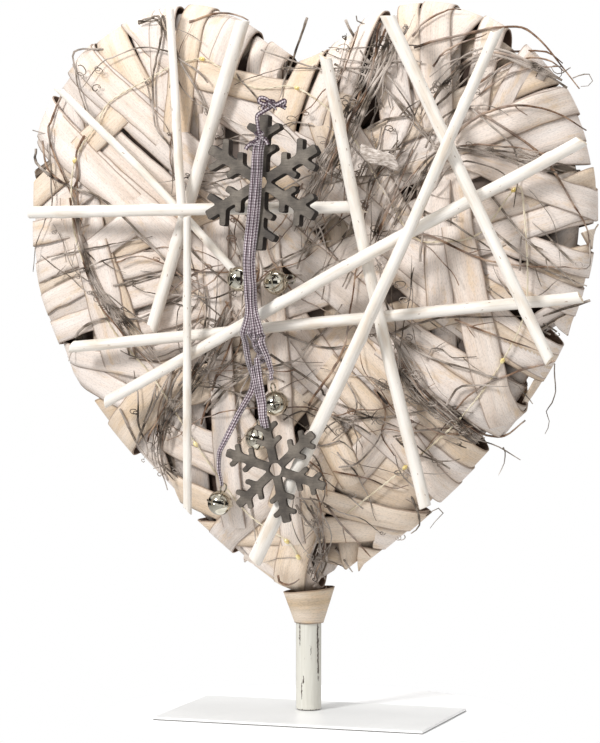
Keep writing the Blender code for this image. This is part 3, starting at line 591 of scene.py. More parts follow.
def windStrip(number, layer, low, width, start, end, stations, nodes=()):
    # the strip rides on its layer between the two places and sinks towards the low one beyond them
    half = (end - start).length / 2
    direction = (end - start).normalized()
    across = sideOf(direction)
    middle = (start + end) / 2
    lean = strips["lean"] * wobble(number * 0.37, 0.9, 2)
    pitch = heart["layerPitch"]
    long, short = strips["tears"]
    shadeTop, growing = strips["deepShade"]
    inner, reach, most = strips["rimUnshaded"]

    def layerAt(along):
        return max(low, layer - max(0.0, abs(along) - half) / strips["dive"])

    def reachTo(base, way):
        return wayToRim(base, way, layerAt(wayToRim(base, way, layer * pitch)) * pitch)

    bm, shares = gridOf(stations, strips["rows"])
    reaches = {}
    lengths = {}
    unshadedShare = {}
    for vert, (around, over) in shares.items():
        key = round(over, 4)
        side = 0.5 - over
        if key not in reaches:
            base = middle + across * side * width
            reaches[key] = (base, reachTo(base, direction), reachTo(base, -direction))
        base, ahead, behind = reaches[key]
        turn = fullTurn * around
        swing = math.cos(turn)
        along = (ahead - behind) / 2 + (ahead + behind) / 2 * swing
        place = base + direction * along
        facing = 1 if math.sin(turn) >= 0 else -1
        seed = number + (strips["backSeed"] if facing < 0 else 0) + (0.5 if side > 0 else 0)
        # where the strip turns over the rim it lies tight
        flat = min(1.0, (1 - abs(swing)) * 14)
        stray = (wobble(along, long, seed) + 0.5 * wobble(along, short, seed + 9)) * abs(2 * side) ** 3
        place = place + across * stray * strips["edgeWander"] * 2 * flat
        buckle = (0.5 + 0.5 * wobble(along, strips["buckles"], seed + 3)) * strips["lift"] * flat
        buckle += lean * side * 2 * flat
        height = layerAt(along)
        depth = domeDepth(place, height * pitch) + buckle
        if abs(math.sin(turn)) < tiny:
            depth = 0.0
        vert.co = pressSides(toWorld(place, depth * facing))
        # painted shade darkens the deep layers, but windings of layer 0 and up are kept light near the rim
        unshadedShare[vert] = min(1.0, max(0.0, (height - shadeTop) / growing))
        if layer >= 0:
            unshadedShare[vert] = max(unshadedShare[vert], min(most, (domeShare(place, 0.0) - inner) / reach))
        if abs(side) < 0.01:
            lengths[round(around, 5)] = vert.co.copy()
    marks = sorted(lengths)
    run = {marks[0]: 0.0}
    for before, here in zip(marks, marks[1:]):
        run[here] = run[before] + (lengths[here] - lengths[before]).length

    def grainPlace(vert):
        around, over = shares[vert]
        return run[round(around, 5)] + number * 0.83, over * width + number * 0.117

    layUv(bm, "grain", grainPlace)
    layUv(bm, "edges", lambda v: (min(shares[v][1], 1 - shares[v][1]) * width, unshadedShare[v]))
    closeUp(bm)
    faceAlong(bm, Vector((0, -1, 0)))
    bm.verts.index_update()
    base = len(skinPoints)
    skinPoints.extend(v.co.copy() for v in bm.verts)
    skinFaces.extend([base + v.index for v in f.verts] for f in bm.faces)
    nearTip = middle.y < strips["warmBelow"] * heart["height"]
    tone = veneerTones[strips["maker"].choice(strips["lowTones"] if nearTip else strips["tones"])]
    piece = finishPiece(f"veneer_strip_{number:02d}", bm, [tone, veneerInsideShade], nodes)
    thicken(piece, heart["veneer"], 1.0, inside=True)


def windCore(number, layer, slope, low, high, pitch, width):
    # parallel lines, each a little off, so that only slits stay open between them
    height = low
    half = strips["coreHalf"]
    while height < high:
        way = Vector((1, slope * strips["maker"].uniform(0.86, 1.16))).normalized()
        centre = Vector((0, height * mm))
        flat = centre - way * (centre - formMiddle).dot(way)
        if domeShare(flat, 0) < strips["coreRoom"]:
            wide = width * strips["maker"].uniform(0.9, 1.05) * mm
            start, end = flat - way * half, flat + way * half
            windStrip(number, layer, layer, wide, start, end, strips["coreStations"])
            number += 1
        height += pitch * strips["maker"].uniform(0.93, 1.07)
    return number


for number, (layer, width, *places) in enumerate(strips["runs"] + strips["woven"], start=1):
    x, z, x2, z2 = (p / 1000 for p in places)
    shown = number <= len(strips["runs"])
    # a further strip sinks to a layer of its own, from -2.4 to -0.4
    low = strips["diving"].get(number, layer) if shown else (number * 0.37) % 2.0 - 2.4
    windStrip(number, layer, low, width * mm, onForm(x, z), onForm(x2, z2), strips["stations"],
              [f"strip_{number:02d}"] if shown else ())
number += 1
for run in strips["core"]:
    number = windCore(number, *run)
skin = BVHTree.FromPolygons(skinPoints, skinFaces)
print("strips wound")


# Lying on the front
def skinDepth(place):
    # how far forward the strips' outer face stands at a place on the front
    hit = skin.ray_cast(toWorld(place, 0.3), Vector((0, 1, 0)))[0]
    return heart["place"].y - hit.y + heart["veneer"] if hit else 0.0


def bed(place, reach=0.004):
    # the second highest place of seven close by
    depths = [skinDepth(place)] + [skinDepth(place + wayAt(k * math.pi / 3) * reach) for k in range(6)]
    return sorted(depths)[-2]


def evened(values, reach):
    near = [values[max(0, k - reach):k + reach + 1] for k in range(len(values))]
    return [sum(some) / len(some) for some in near]


def smoothRun(stops, step):
    # Catmull-Rom through the stops, of any size of vector
    stops = [Vector(s) for s in stops]
    points = [stops[0] * 2 - stops[1], *stops, stops[-1] * 2 - stops[-2]]
    path = []
    for before, here, there, after in zip(points, points[1:], points[2:], points[3:]):
        count = max(1, round((there - here).length / step))
        for k in range(count):
            t = k / count
            square, cube = 2 * before - 5 * here + 4 * there - after, 3 * here - before - 3 * there + after
            path.append(0.5 * (2 * here + (there - before) * t + square * t ** 2 + cube * t ** 3))
    path.append(stops[-1])
    return path


def flatRun(stops, step):
    return [p.to_2d() for p in smoothRun(stops, step)]


def tube(name, runs, materials, nodes=()):
    # one curve with a bevelled spline for each run of (points, radii, material number), made a mesh
    curve = bpy.data.curves.new(name, "CURVE")
    curve.dimensions = "3D"
    curve.bevel_depth = 1.0
    curve.bevel_resolution = 1
    curve.use_fill_caps = True
    for material in materials:
        curve.materials.append(material)
    for points, radii, number in runs:
        spline = curve.splines.new("POLY")
        spline.material_index = number
        spline.points.add(len(points) - 1)
        spline.use_smooth = True
        for point, place, radius in zip(spline.points, points, radii):
            point.co = (*place, 1.0)
            point.radius = radius
    carrier = addObject(name + "_line", curve)
    bpy.context.view_layer.update()
    mesh = bpy.data.meshes.new_from_object(carrier.evaluated_get(bpy.context.evaluated_depsgraph_get()))
    bpy.data.objects.remove(carrier)
    mesh.name = name
    placePiece(name, mesh, nodes, 50)


# Sticks
sticks = {
    "step": 0.003,
    "sides": 14,
    "crook": 0.0005,         # sideways wander of the middle line
    "ridge": 0.035,          # shares of the radius: ridges, slow and fast waver, and how much thinner
    "waver": 0.05, "rough": 0.02, "thinner": 0.04,
    "knotEvery": 0.045, "knotLength": 0.0035, "knotWidth": 0.8, "knotSwell": (0.08, 0.2),
    "cutEdge": 0.0004,
    "names": {
        # how far each end is cut aslant, in radii: left or upper end first
        "left_fall": (0.9, 0.2), "left_slant": (1.6, 0.6), "left_upper": (0.4, 0.4),
        "left_level": (0.3, 2.4), "long_level": (0.5, 0.4), "right_upright": (1.0, 0.2),
        "long_rise": (0.5, 0.5), "left_lower": (1.2, 0.3), "right_fall": (0.5, 0.4), "right_rise": (0.3, 1.4),
    },
}


def centreLine(node):
    # rings of a straight or gently bent tube, from its left end to its right
    points = np.array(sorted({tuple(round(c, 6) for c in v.co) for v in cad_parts[node].data.vertices}))
    middle = points.mean(0)
    axis = np.linalg.svd(points - middle)[2][0]
    if axis[0] < 0:
        axis = -axis
    reach = (points - middle) @ axis
    order = np.argsort(reach)
    rings = []
    for group in np.split(order, np.where(np.diff(reach[order]) > 4 * mm)[0] + 1):
        centre = points[group].mean(0)
        rings.append((*Vector(centre), float(np.linalg.norm(points[group] - centre, axis=1).max())))
    return rings


def carveStick(number, name, cuts):
    path = smoothRun(centreLine(f"stick_{name}"), sticks["step"])
    middle = [Vector(p[:3]) for p in path]
    radii = [p[3] for p in path]
    length = (middle[-1] - middle[0]).length
    count = len(path) - 1
    bm, shares = gridOf(count, sticks["sides"])
    rand = random.Random(number * 13)
    knots = [(rand.uniform(0.05, 0.95), rand.uniform(0, fullTurn), rand.uniform(*sticks["knotSwell"]))
             for _ in range(int(length / sticks["knotEvery"]))]
    for vert, (along, around) in shares.items():
        k = min(count, int(round(along * count)))
        heading = headingAt(middle, k)
        side = heading.cross(Vector((0, -1, 0))).normalized()
        front = side.cross(heading).normalized()
        turn = fullTurn * around
        rib = round(around * sticks["sides"]) % sticks["sides"]
        radius = radii[k] * (1 + sticks["waver"] * wobble(along * length, 0.05, number) - sticks["thinner"])
        radius *= (1 + sticks["ridge"] * math.sin(2 * turn + number + along * 3)
                   + sticks["rough"] * wobble(along * length, 0.02, number + rib))
        for where, facing, size in knots:
            gap = ((along - where) * length / sticks["knotLength"]) ** 2
            gap += (2 * math.sin((turn - facing) / 2) / sticks["knotWidth"]) ** 2
            radius *= 1 + size * math.exp(-gap)
        centre = middle[k] + side * wobble(along * length, 0.08, number + 5) * sticks["crook"]
        slant = 0.0
        if k == 0:
            slant = -cuts[0] * math.cos(turn) * radii[0] + cuts[0] * radii[0] * 0.5
        if k == count:
            slant = cuts[1] * math.cos(turn) * radii[-1] - cuts[1] * radii[-1] * 0.5
        vert.co = centre + (side * math.cos(turn) + front * math.sin(turn)) * radius + heading * slant
    layUv(bm, "grain", lambda v: (
        shares[v][0] * length + number * 0.71, shares[v][1] * fullTurn * radii[0] + number * 0.31))
    bmesh.ops.remove_doubles(bm, verts=bm.verts, dist=tiny)
    rim = [e for e in bm.edges if e.is_boundary]
    uv = bm.loops.layers.uv["grain"]
    for face in bmesh.ops.edgeloop_fill(bm, edges=rim, mat_nr=1)["faces"]:
        centre = face.calc_center_median()
        for loop in face.loops:
            loop[uv].uv = (loop.vert.co - centre).xz
    bmesh.ops.recalc_face_normals(bm, faces=bm.faces)
    bmesh.ops.bevel(
        bm, geom=rim, affect="EDGES", offset=sticks["cutEdge"], segments=2, profile=0.5, material=-1)
    finishPiece(f"willow_stick_{name}", bm, [willow, cutWood], [f"stick_{name}"], 35)


for number, (name, cuts) in enumerate(sticks["names"].items()):
    carveStick(number, name, cuts)
print("sticks carved")


# Stand: post, plate and collar
stand = {
    "postAt": (-0.0059, 0.0128),
    "postRadius": 0.00825,
    "postFoot": 0.0023, "postTop": 0.0705,
    "postEdge": 0.0008,
    "postDents": 0.00007,
    "postGrid": (110, 72),      # up and around
    "endWear": (0.0012, 0.8),   # height worn at each end of the post, and how far
    "collarFoot": 0.059, "collarRim": 0.0805,
    "collarRimSlope": 0.11,
    "collarRadii": (0.0089, 0.0162),
    "collarWall": 0.0009,
    "collarSeam": 60,           # degrees round from the right, where the strip begins
    "collarTurns": 1.06,        # the strip laps over itself
    "collarLap": 0.0011,        # by which its end stands further out than its beginning
    "collarDents": 0.00012, "collarWaves": 0.0003,
    "collarGrid": (150, 14),    # around and up
    "collarStrip": (0.085, 0.0225),    # length and width as cut
    # rubbed places: angle round the post in degrees, lowest and highest point, width in degrees, depth
    "rubs": [
        (-24, 0.022, 0.064, 8, 1.0), (-116, 0.044, 0.062, 5, 1.0), (-104, 0.010, 0.024, 4, 0.85),
        (-60, 0.034, 0.046, 3, 0.75), (-92, 0.030, 0.040, 3, 0.75), (-96, 0.019, 0.025, 4, 0.7),
        (95, 0.020, 0.048, 6, 0.9), (170, 0.034, 0.058, 5, 0.8),
    ],
}


def roundPost(radius, turn, height):
    x, y = stand["postAt"]
    return x + radius * math.cos(turn), y + radius * math.sin(turn), height


def layFlat(bm, shares, long, wide, shift=0.0):
    # UV map in metres, as if the grid were unrolled
    layUv(bm, "grain", lambda v: (shares[v][0] * long + shift, shares[v][1] * wide + shift * 0.4))
    layUv(bm, "edges", lambda v: (min(shares[v][1], 1 - shares[v][1]) * wide, 1.0))


def turnPost():
    bm, shares = gridOf(*stand["postGrid"])
    x, y = stand["postAt"]
    low, high = stand["postFoot"], stand["postTop"]
    for vert, (up, around) in shares.items():
        turn = fullTurn * around
        height = low + (high - low) * up
        near = min(up, 1 - up) * (high - low)
        radius = stand["postRadius"] - stand["postEdge"] * max(0.0, 1 - near / stand["postEdge"]) ** 2
        radius -= stand["postDents"] * (1 + wobble(height, 0.02, 3 + math.sin(turn)))
        vert.co = roundPost(radius, turn, height)
    layFlat(bm, shares, high - low, fullTurn * stand["postRadius"])
    closeUp(bm, fill=True)
    piece = finishPiece("painted_post", bm, [postPaint], ["post"], 50)
    wear = piece.data.attributes.new("wear", "FLOAT", "POINT")
    for vert, share in zip(piece.data.vertices, wear.data):
        share.value = wornShare(math.atan2(vert.co.y - y, vert.co.x - x), vert.co.z)


def wornShare(turn, height):
    # how far the paint is rubbed through at a place on the post
    near = min(height - stand["postFoot"], stand["postTop"] - height)
    high, most = stand["endWear"]
    worn = max(0.0, 1 - near / high) * most
    for angle, foot, top, width, depth in stand["rubs"]:
        gap = math.degrees((turn - math.radians(angle) + math.pi) % fullTurn - math.pi) / width
        reach = (height - (foot + top) / 2) / ((top - foot) / 2)
        worn = max(worn, depth * math.exp(-gap * gap - reach ** 4))
    return worn


def rollCollar():
    bm, shares = gridOf(*stand["collarGrid"])
    foot, rim = stand["collarRadii"]
    for vert, (around, up) in shares.items():
        turn = math.radians(stand["collarSeam"]) + fullTurn * stand["collarTurns"] * around
        radius = foot + (rim - foot) * up + (around - 0.5) * stand["collarLap"]
        radius += stand["collarDents"] * wobble(around * 0.2, 0.02, 2) * up
        height = stand["collarFoot"] + (stand["collarRim"] - stand["collarFoot"]) * up
        height += stand["collarRimSlope"] * radius * math.cos(turn) * up
        height += stand["collarWaves"] * wobble(around * 0.2, 0.03, 8) * (2 * up - 1)
        vert.co = roundPost(radius, turn, height)
    layFlat(bm, shares, *stand["collarStrip"], 0.3)
    bmesh.ops.recalc_face_normals(bm, faces=bm.faces)
    faceAlong(bm, Vector((1, 0, 0)))
    piece = finishPiece("rolled_veneer_collar", bm, [collarVeneer, veneerInsideShade], ["collar"], 60)
    thicken(piece, stand["collarWall"], inside=True)


turnPost()
rollCollar()
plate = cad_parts["base_plate"]
plate.data.materials.clear()
plate.data.materials.append(platePaint)
print("stand made")


# Places in the solids
nodeTrees = {}


def nodeTree(node):
    if node not in nodeTrees:
        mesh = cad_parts[node].data
        points = [v.co.copy() for v in mesh.vertices]
        nodeTrees[node] = BVHTree.FromPolygons(points, [tuple(p.vertices) for p in mesh.polygons])
    return nodeTrees[node]


def nodeDepth(node, place, search):
    # how far forward a node's middle lies at a place or close by
    tree = nodeTree(node)
    for reach in (0.0, search, search * 2):
        for k in range(6 if reach else 1):
            spot = place + wayAt(k * math.pi / 3) * reach
            front = tree.ray_cast(toWorld(spot, 0.3), Vector((0, 1, 0)))[0]
            back = tree.ray_cast(toWorld(spot, -0.3), Vector((0, -1, 0)))[0]
            if front and back:
                return heart["place"].y - (front.y + back.y) / 2
    return None


def nodeRun(nodes, places, search=0.004):
    # depths along a route over one or more nodes, filled in where the route leaves them
    known = {}
    for k, place in enumerate(places):
        for node in nodes:
            depth = nodeDepth(node, place, search)
            if depth is not None:
                known[k] = depth
                break
    return [float(np.interp(k, list(known), list(known.values()))) for k in range(len(places))]


# Twigs: thin dried shoots, in bundles and alone
vines = {
    "step": 0.005,
    "radius": (0.00035, 0.00085),
    "room": 0.001,            # kept free inside the solids' width
    "brown": 0.3,             # share of brown shoots
    "buds": (0.017, 0.28),    # one every so often, and how much thicker there
    "kinks": ((0.0007, 0.013, 0), (0.0004, 0.005, 3)),    # size and length of a wave, and its seed
    # strands, how far one strays to the side in mm, and the middle line
    "bundles": {
        "notch": (12, 6.5, (0.36, 0.97), (0.30, 0.89), (0.22, 0.81), (0.12, 0.70), (0.05, 0.62)),
        "lobe": (6, 3.6, (0.93, 0.865), (0.80, 0.90), (0.66, 0.915), (0.53, 0.87), (0.45, 0.80)),
        "band": (6, 3.8, (0.97, 0.72), (0.74, 0.755), (0.53, 0.755), (0.40, 0.67), (0.30, 0.58)),
        "left": (5, 2.6, (-0.77, 0.69), (-0.74, 0.60), (-0.68, 0.52), (-0.57, 0.45), (-0.44, 0.38)),
        "lower_left": (7, 4.2, (-0.20, 0.50), (-0.30, 0.40), (-0.42, 0.32), (-0.47, 0.25), (-0.44, 0.18)),
        "lower_right": (8, 5.0, (0.30, 0.48), (0.40, 0.41), (0.50, 0.345), (0.67, 0.28)),
        "tip": (6, 4.6, (0.05, 0.17), (0.115, 0.11), (0.07, 0.04)),
    },
}
forkSteps = (0, 0.25, 0.5, 0.75, 1)


def shoot(places, depths, radius, seed, tip=0.45):
    # a shoot swells at its buds, kinks a little there and thins towards its end
    points = []
    radii = []
    run = 0.0
    apart, swell = vines["buds"]
    for k, (place, depth) in enumerate(zip(places, depths)):
        if k:
            run += (place - places[k - 1]).length
        share = k / max(1, len(places) - 1)
        bud = max(0.0, math.cos(fullTurn * run / apart + seed)) ** 8
        radii.append(radius * (1 - (1 - tip) * share ** 2) * (1 + swell * bud))
        stray = sum(size * wobble(run, wave, seed + shift) for size, wave, shift in vines["kinks"])
        spot = toWorld(place, depth) + Vector((stray, 0.4 * stray, -stray))
        spot.x = heldInside(spot.x, vines["room"])
        points.append(spot)
    return points, radii


def fork(rand, places, k, lean, reaches, bend):
    # a short side shoot that sets out aslant and bends back along its twig
    heading = headingAt(places, k)
    way = heading.copy()
    way.rotate(Matrix.Rotation(rand.choice((-1, 1)) * rand.uniform(*lean), 2))
    reach = rand.uniform(*reaches)
    return [places[k] + way * reach * t + heading * reach * bend * t * t for t in forkSteps]


def curl(place, depth, size, turns, turn, radius):
    # a dried tendril wound like a spring that opens towards its root
    points = []
    count = int(turns * 14)
    drift = wayAt(turn * 3) * size * 1.3
    for k in range(count + 1):
        share = k / count
        around = fullTurn * turns * share + turn
        reach = size * (0.35 + 0.65 * share) * (1 + 0.45 * wobble(share, 0.16, turn))
        spot = place + drift * share + Vector((math.cos(around), math.sin(around) * 0.7)) * reach
        points.append(toWorld(spot, depth + 0.002 * share + 0.0008 * math.sin(around)))
    return points, [radius * (0.6 + 0.4 * k / count) for k in range(count + 1)]


def bundleTwigs(order, name):
    strands, spread, *stops = vines["bundles"][name]
    middle = flatRun([onForm(*stop) for stop in stops], vines["step"])
    depths = nodeRun([f"vine_{name}"], middle)
    rand = random.Random(50 + order)
    runs = []
    spread *= mm
    for strand in range(strands):
        first = rand.randint(0, 3)
        last = len(middle) - rand.randint(0, 3)
        side = rand.uniform(-1, 1) * spread
        seed = order * 17 + strand
        radius = rand.uniform(*vines["radius"])
        places = []
        lifts = []
        for k in range(first, last):
            run = k * vines["step"]
            sway = side + (wobble(run, 0.07, seed) + 0.25 * wobble(run, 0.02, seed + 2)) * spread * 1.6
            places.append(middle[k] + sideOf(headingAt(middle, k)) * sway)
            lifts.append(depths[k] + wobble(run, 0.035, seed + 5) * 0.0022)
        points, radii = shoot(places, lifts, radius, seed)
        brown = int(rand.random() < vines["brown"])
        runs.append((points, radii, brown))
        for _ in range(rand.randint(0, 1)):
            k = rand.randint(1, len(places) - 2)
            branch = fork(rand, places, k, (0.4, 0.9), (0.007, 0.019), 0.5)
            heights = [lifts[k] + rand.uniform(0, 0.002) * t for t in forkSteps]
            runs.append((*shoot(branch, heights, radius * 0.6, seed + 7, 0.4), brown))
        for _ in range(rand.randint(1, 3)):
            k = rand.randint(0, len(places) - 1)
            size, turns, turn = rand.uniform(0.0014, 0.0032), rand.uniform(1.2, 3.0), rand.uniform(0, 6)
            runs.append((*curl(places[k], lifts[k] + 0.001, size, turns, turn, 0.00032), 0))
    tube(f"twig_bundle_{name}", runs, twigs, [f"vine_{name}"])


for order, name in enumerate(vines["bundles"]):
    bundleTwigs(order, name)
print("twig bundles tied")


# Light string: two thin wires twisted together, with a rice lamp here and there
lightString = {
    "wire": 0.00034,            # radius of one wire
    "apart": 0.00036,           # of each wire from the middle of the twist
    "pitch": 0.011,             # length of one twist
    "loose": (1.5, 0.05),       # radians by which the twist strays, and the length of one wave
    "step": 0.0016,
    "lamp": (0.0014, 0.0040),   # radius and length
    "lampForward": 0.0004,
    "lampSides": 18,
    "over": 0.0117,             # the strips' outermost face, as in the solids
    "lift": 0.0011,
    "route": [
        (0.03, 0.07), (-0.01, 0.10), (-0.16, 0.15), (-0.33, 0.26), (-0.48, 0.37), (-0.64, 0.46),
        (-0.74, 0.57), (-0.78, 0.65), (-0.77, 0.74), (-0.69, 0.80), (-0.64, 0.84), (-0.49, 0.88),
        (-0.41, 0.90), (-0.31, 0.91), (-0.23, 0.89), (-0.12, 0.86), (0.02, 0.86), (0.19, 0.80),
        (0.33, 0.69), (0.43, 0.615), (0.53, 0.605), (0.66, 0.62), (0.77, 0.69), (0.80, 0.67),
        (0.81, 0.51), (0.73, 0.41), (0.58, 0.31), (0.40, 0.23), (0.20, 0.15),
    ],
    "lampsAt": (0, 1, 3, 8, 13, 16, 19, 22, 25, 27),
    # from tail to nose: shares of the lamp's radius and length
    "profile": [
        (0.0, -0.5), (0.30, -0.49), (0.42, -0.42), (0.55, -0.36), (0.86, -0.30), (1.0, -0.12), (1.0, 0.14),
        (0.90, 0.32), (0.62, 0.45), (0.30, 0.495), (0.0, 0.5),
    ],
}


def layLightString():
    stops = [onForm(*share) for share in lightString["route"]]
    middle = flatRun(stops, lightString["step"])
    stray, wave = lightString["loose"]
    points = [toWorld(p, domeDepth(p, lightString["over"]) + lightString["lift"]) for p in middle]
    run = 0.0
    strands = ([], [])
    for k, point in enumerate(points):
        if k:
            run += (point - points[k - 1]).length
        heading = headingAt(points, k)
        side = heading.cross(Vector((0, -1, 0))).normalized()
        front = side.cross(heading)
        for half, strand in enumerate(strands):
            turn = fullTurn * run / lightString["pitch"] + math.pi * half + stray * wobble(run, wave, 4)
            strand.append(point + (side * math.cos(turn) + front * math.sin(turn)) * lightString["apart"])
    runs = [(strand, [lightString["wire"]] * len(strand), 0) for strand in strands]
    tube("twisted_light_wire", runs, [cable], ["light_string"])
    lamps = bmesh.new()
    for index in lightString["lampsAt"]:
        near = min(range(len(middle)), key=lambda k: (middle[k] - stops[index].to_2d()).length)
        near = min(max(near, 1), len(points) - 2)
        place = points[near] - Vector((0, lightString["lampForward"], 0))
        moldLamp(lamps, place, headingAt(points, near))
    finishPiece("rice_lamps", lamps, [lamp], crease=60)


def moldLamp(bm, place, heading):
    # a bead with a rounded nose and a crimped neck
    wide, long = lightString["lamp"]
    others = set(bm.verts)
    profile = [(radius * wide, along * long) for radius, along in lightString["profile"]]
    spinProfile(bm, profile, lightString["lampSides"])
    bmesh.ops.remove_doubles(bm, verts=[v for v in bm.verts if v not in others], dist=tiny)
    verts = [v for v in bm.verts if v not in others]
    pose = Matrix.Translation(place) @ Vector((0, 0, 1)).rotation_difference(heading).to_matrix().to_4x4()
    bmesh.ops.transform(bm, matrix=pose, verts=verts)
    bmesh.ops.recalc_face_normals(bm, faces=[f for f in bm.faces if f.verts[0] not in others])


layLightString()
print("light string laid")


# Loose twigs
twigRoutes = {
    # brown 1 or grey 0, radius in tenths of a mm, then x and z of each place in mm from the tip, by quarter
    "upper_left": [
        (1, 9, -72, 371, -58, 376, -45, 376, -37, 372),
        (0, 8, -107, 370, -93, 375, -89, 362, -93, 332, -90, 304, -81, 292, -78, 279, -79, 260),
        (0, 6, -109, 372, -100, 374, -91, 370, -82, 351), (0, 9, -89, 375, -72, 343, -59, 322, -50, 295),
        (0, 6, -94, 373, -80, 354, -75, 332, -65, 320),
        (0, 7, -134, 355, -155, 353, -150, 336, -142, 316, -140, 305),
        (1, 8, -161, 326, -167, 310, -168, 295, -147, 252), (1, 7, -173, 295, -168, 276, -147, 262),
        (0, 4, -183, 302, -170, 299),
        (0, 9, -190, 290, -184, 281, -154, 266, -126, 256, -93, 227, -66, 199, -42, 180),
        (1, 9, -141, 298, -147, 286, -146, 272, -149, 262, -144, 248, -145, 240, -143, 224),
        (0, 8, 4, 373, -4, 352, -7, 322), (0, 7, -67, 270, -57, 263, -40, 259),
        (0, 6, -68, 263, -59, 268, -48, 267, -40, 262), (0, 6, -169, 219, -93, 233),
        (0, 7, -169, 204, -107, 222), (0, 8, -120, 201, -86, 208, -72, 207),
        (0, 8, -72, 234, -62, 221, -35, 199),
    ],
    "upper_right": [
        (0, 10, 30, 371, 75, 313, 96, 290), (0, 8, 30, 342, 50, 335, 63, 327, 78, 313, 96, 291),
        (0, 9, 65, 365, 59, 346, 34, 298, 19, 282), (0, 8, 61, 362, 26, 288),
        (0, 7, 69, 363, 63, 343, 24, 270), (1, 8, 80, 359, 88, 369, 101, 376, 109, 376),
        (1, 9, 82, 352, 101, 358, 138, 365, 156, 358, 183, 326), (1, 7, 95, 340, 103, 350, 127, 361),
        (1, 8, 121, 334, 130, 346, 146, 350, 162, 349, 172, 342),
        (1, 8, 122, 328, 137, 339, 153, 346, 166, 343, 173, 337),
        (1, 7, 124, 322, 140, 334, 156, 339, 172, 340),
        (1, 9, 108, 294, 124, 308, 140, 314, 156, 315, 172, 311, 189, 300),
        (1, 9, 114, 316, 134, 306, 166, 282, 188, 244, 191, 228),
        (0, 6, 121, 313, 140, 297, 148, 288, 151, 272, 148, 252), (0, 8, 131, 262, 156, 232, 166, 226),
        (0, 8, 98, 316, 124, 338), (0, 4, 178, 333, 189, 335, 191, 331, 188, 328, 183, 328),
        (0, 4, 39, 373, 40, 370, 55, 365), (0, 10, 52, 301, 65, 307, 82, 310), (0, 8, 44, 294, 57, 332),
        (0, 8, 56, 266, 63, 282, 73, 294), (1, 9, 60, 236, 83, 288), (0, 7, 57, 233, 62, 249, 88, 302),
        (1, 7, 82, 247, 92, 272, 101, 285), (0, 7, 70, 241, 80, 270),
        (1, 8, 72, 235, 95, 234, 135, 218, 191, 214), (0, 9, 135, 237, 164, 215, 190, 203),
        (0, 7, 150, 238, 185, 204), (0, 5, 191, 232, 191, 216, 189, 214), (0, 9, 88, 218, 90, 238),
        (0, 7, 151, 213, 153, 239), (0, 6, 9, 253, 21, 239, 26, 222),
        (0, 7, 12, 220, 21, 236, 34, 253, 46, 263), (0, 6, 6, 213, 13, 231, 24, 248),
        (0, 7, -17, 213, 14, 227, 29, 231), (0, 6, 2, 193, 26, 214, 44, 220),
    ],
    "lower_left": [
        (0, 10, -144, 237, -142, 224, -114, 172, -109, 156),
        (0, 9, -140, 216, -128, 198, -102, 172, -93, 160),
        (0, 9, -149, 167, -142, 174, -128, 179, -111, 179, -97, 182, -72, 195),
        (0, 6, -150, 165, -155, 151), (0, 8, -118, 120, -107, 95, -97, 82), (0, 8, -106, 100, -80, 146),
        (0, 10, -80, 147, -92, 92, -80, 76), (0, 8, -73, 147, -80, 133, -89, 95),
        (1, 8, -62, 112, -28, 190), (0, 8, -56, 120, -37, 138, -20, 148, 6, 155, 20, 171),
        (0, 5, -96, 87, -83, 74), (1, 8, -11, 15, -10, 11, -3, 9, 4, 13), (0, 7, -27, 66, -24, 38),
        (1, 6, -42, 192, -32, 173, -37, 154, -49, 141), (0, 6, -66, 173, -55, 181, -44, 178, -33, 185),
        (0, 7, -75, 137, -64, 146, -49, 146, -33, 157),
    ],
    "lower_right": [
        (0, 8, -18, 183, -8, 174, 6, 168, 26, 163, 49, 165), (0, 8, -11, 158, 20, 139, 29, 130, 76, 112),
        (0, 8, 64, 170, 98, 182, 154, 184), (1, 7, 111, 182, 166, 161), (0, 10, 191, 194, 164, 184),
        (0, 7, 75, 170, 92, 159, 141, 144, 148, 137, 154, 128), (1, 7, 170, 156, 124, 138, 85, 93),
        (0, 8, 105, 128, 115, 140, 144, 140), (1, 10, 69, 156, 112, 116, 131, 107, 149, 117),
        (0, 9, 72, 167, 95, 136, 125, 112), (0, 5, 92, 156, 95, 163, 102, 163, 108, 158, 124, 159),
        (0, 4, 168, 154, 168, 133, 163, 123, 165, 117, 162, 109), (0, 7, 29, 119, 50, 118, 115, 128),
        (0, 7, 70, 107, 92, 112, 112, 108, 132, 100, 146, 92), (0, 4, 134, 100, 136, 93, 131, 82),
        (1, 8, 14, 126, 37, 162, 46, 214), (0, 7, 9, 161, 24, 174, 36, 190),
        (0, 7, 34, 87, 50, 92, 64, 112), (0, 8, 26, 33, 36, 17), (1, 8, 26, 62, 50, 29),
        (0, 8, 76, 73, 80, 60, 80, 49, 74, 43), (0, 4, 84, 55, 92, 60, 95, 57, 86, 47),
        (1, 6, 30, 84, 52, 80, 67, 74, 78, 76), (1, 6, 17, 77, 22, 55, 12, 24),
        (0, 6, -3, 116, 9, 122, 21, 117, 32, 107), (1, 6, 2, 94, 14, 90, 24, 80, 26, 68),
        (0, 6, 9, 104, 22, 100, 34, 104, 44, 97), (0, 6, 39, 143, 46, 130, 44, 114, 50, 100),
        (1, 6, 57, 137, 65, 123, 62, 108, 70, 95),
    ],
}
twigLevels = (0.0006, 0.0022, 0.0012, 0.0030)    # how high over the strips one twig after another lies
tendrils = {
    # place in mm, size in mm, turns
    "upper": [
        (-146, 336, 4, 1.6), (168, 334, 7, 1.2), (96, 328, 3, 2.2), (108, 246, 3, 1.8), (-130, 330, 3, 1.4),
        (70, 300, 3, 2.0),
    ],
    "lower": [
        (72, 202, 4, 1.5), (86, 150, 4, 1.8), (62, 120, 4, 1.6), (-98, 92, 4, 1.5), (-80, 78, 3, 2.0),
        (66, 40, 3, 1.8), (186, 214, 4, 1.1), (-72, 118, 3, 2.0),
    ],
}
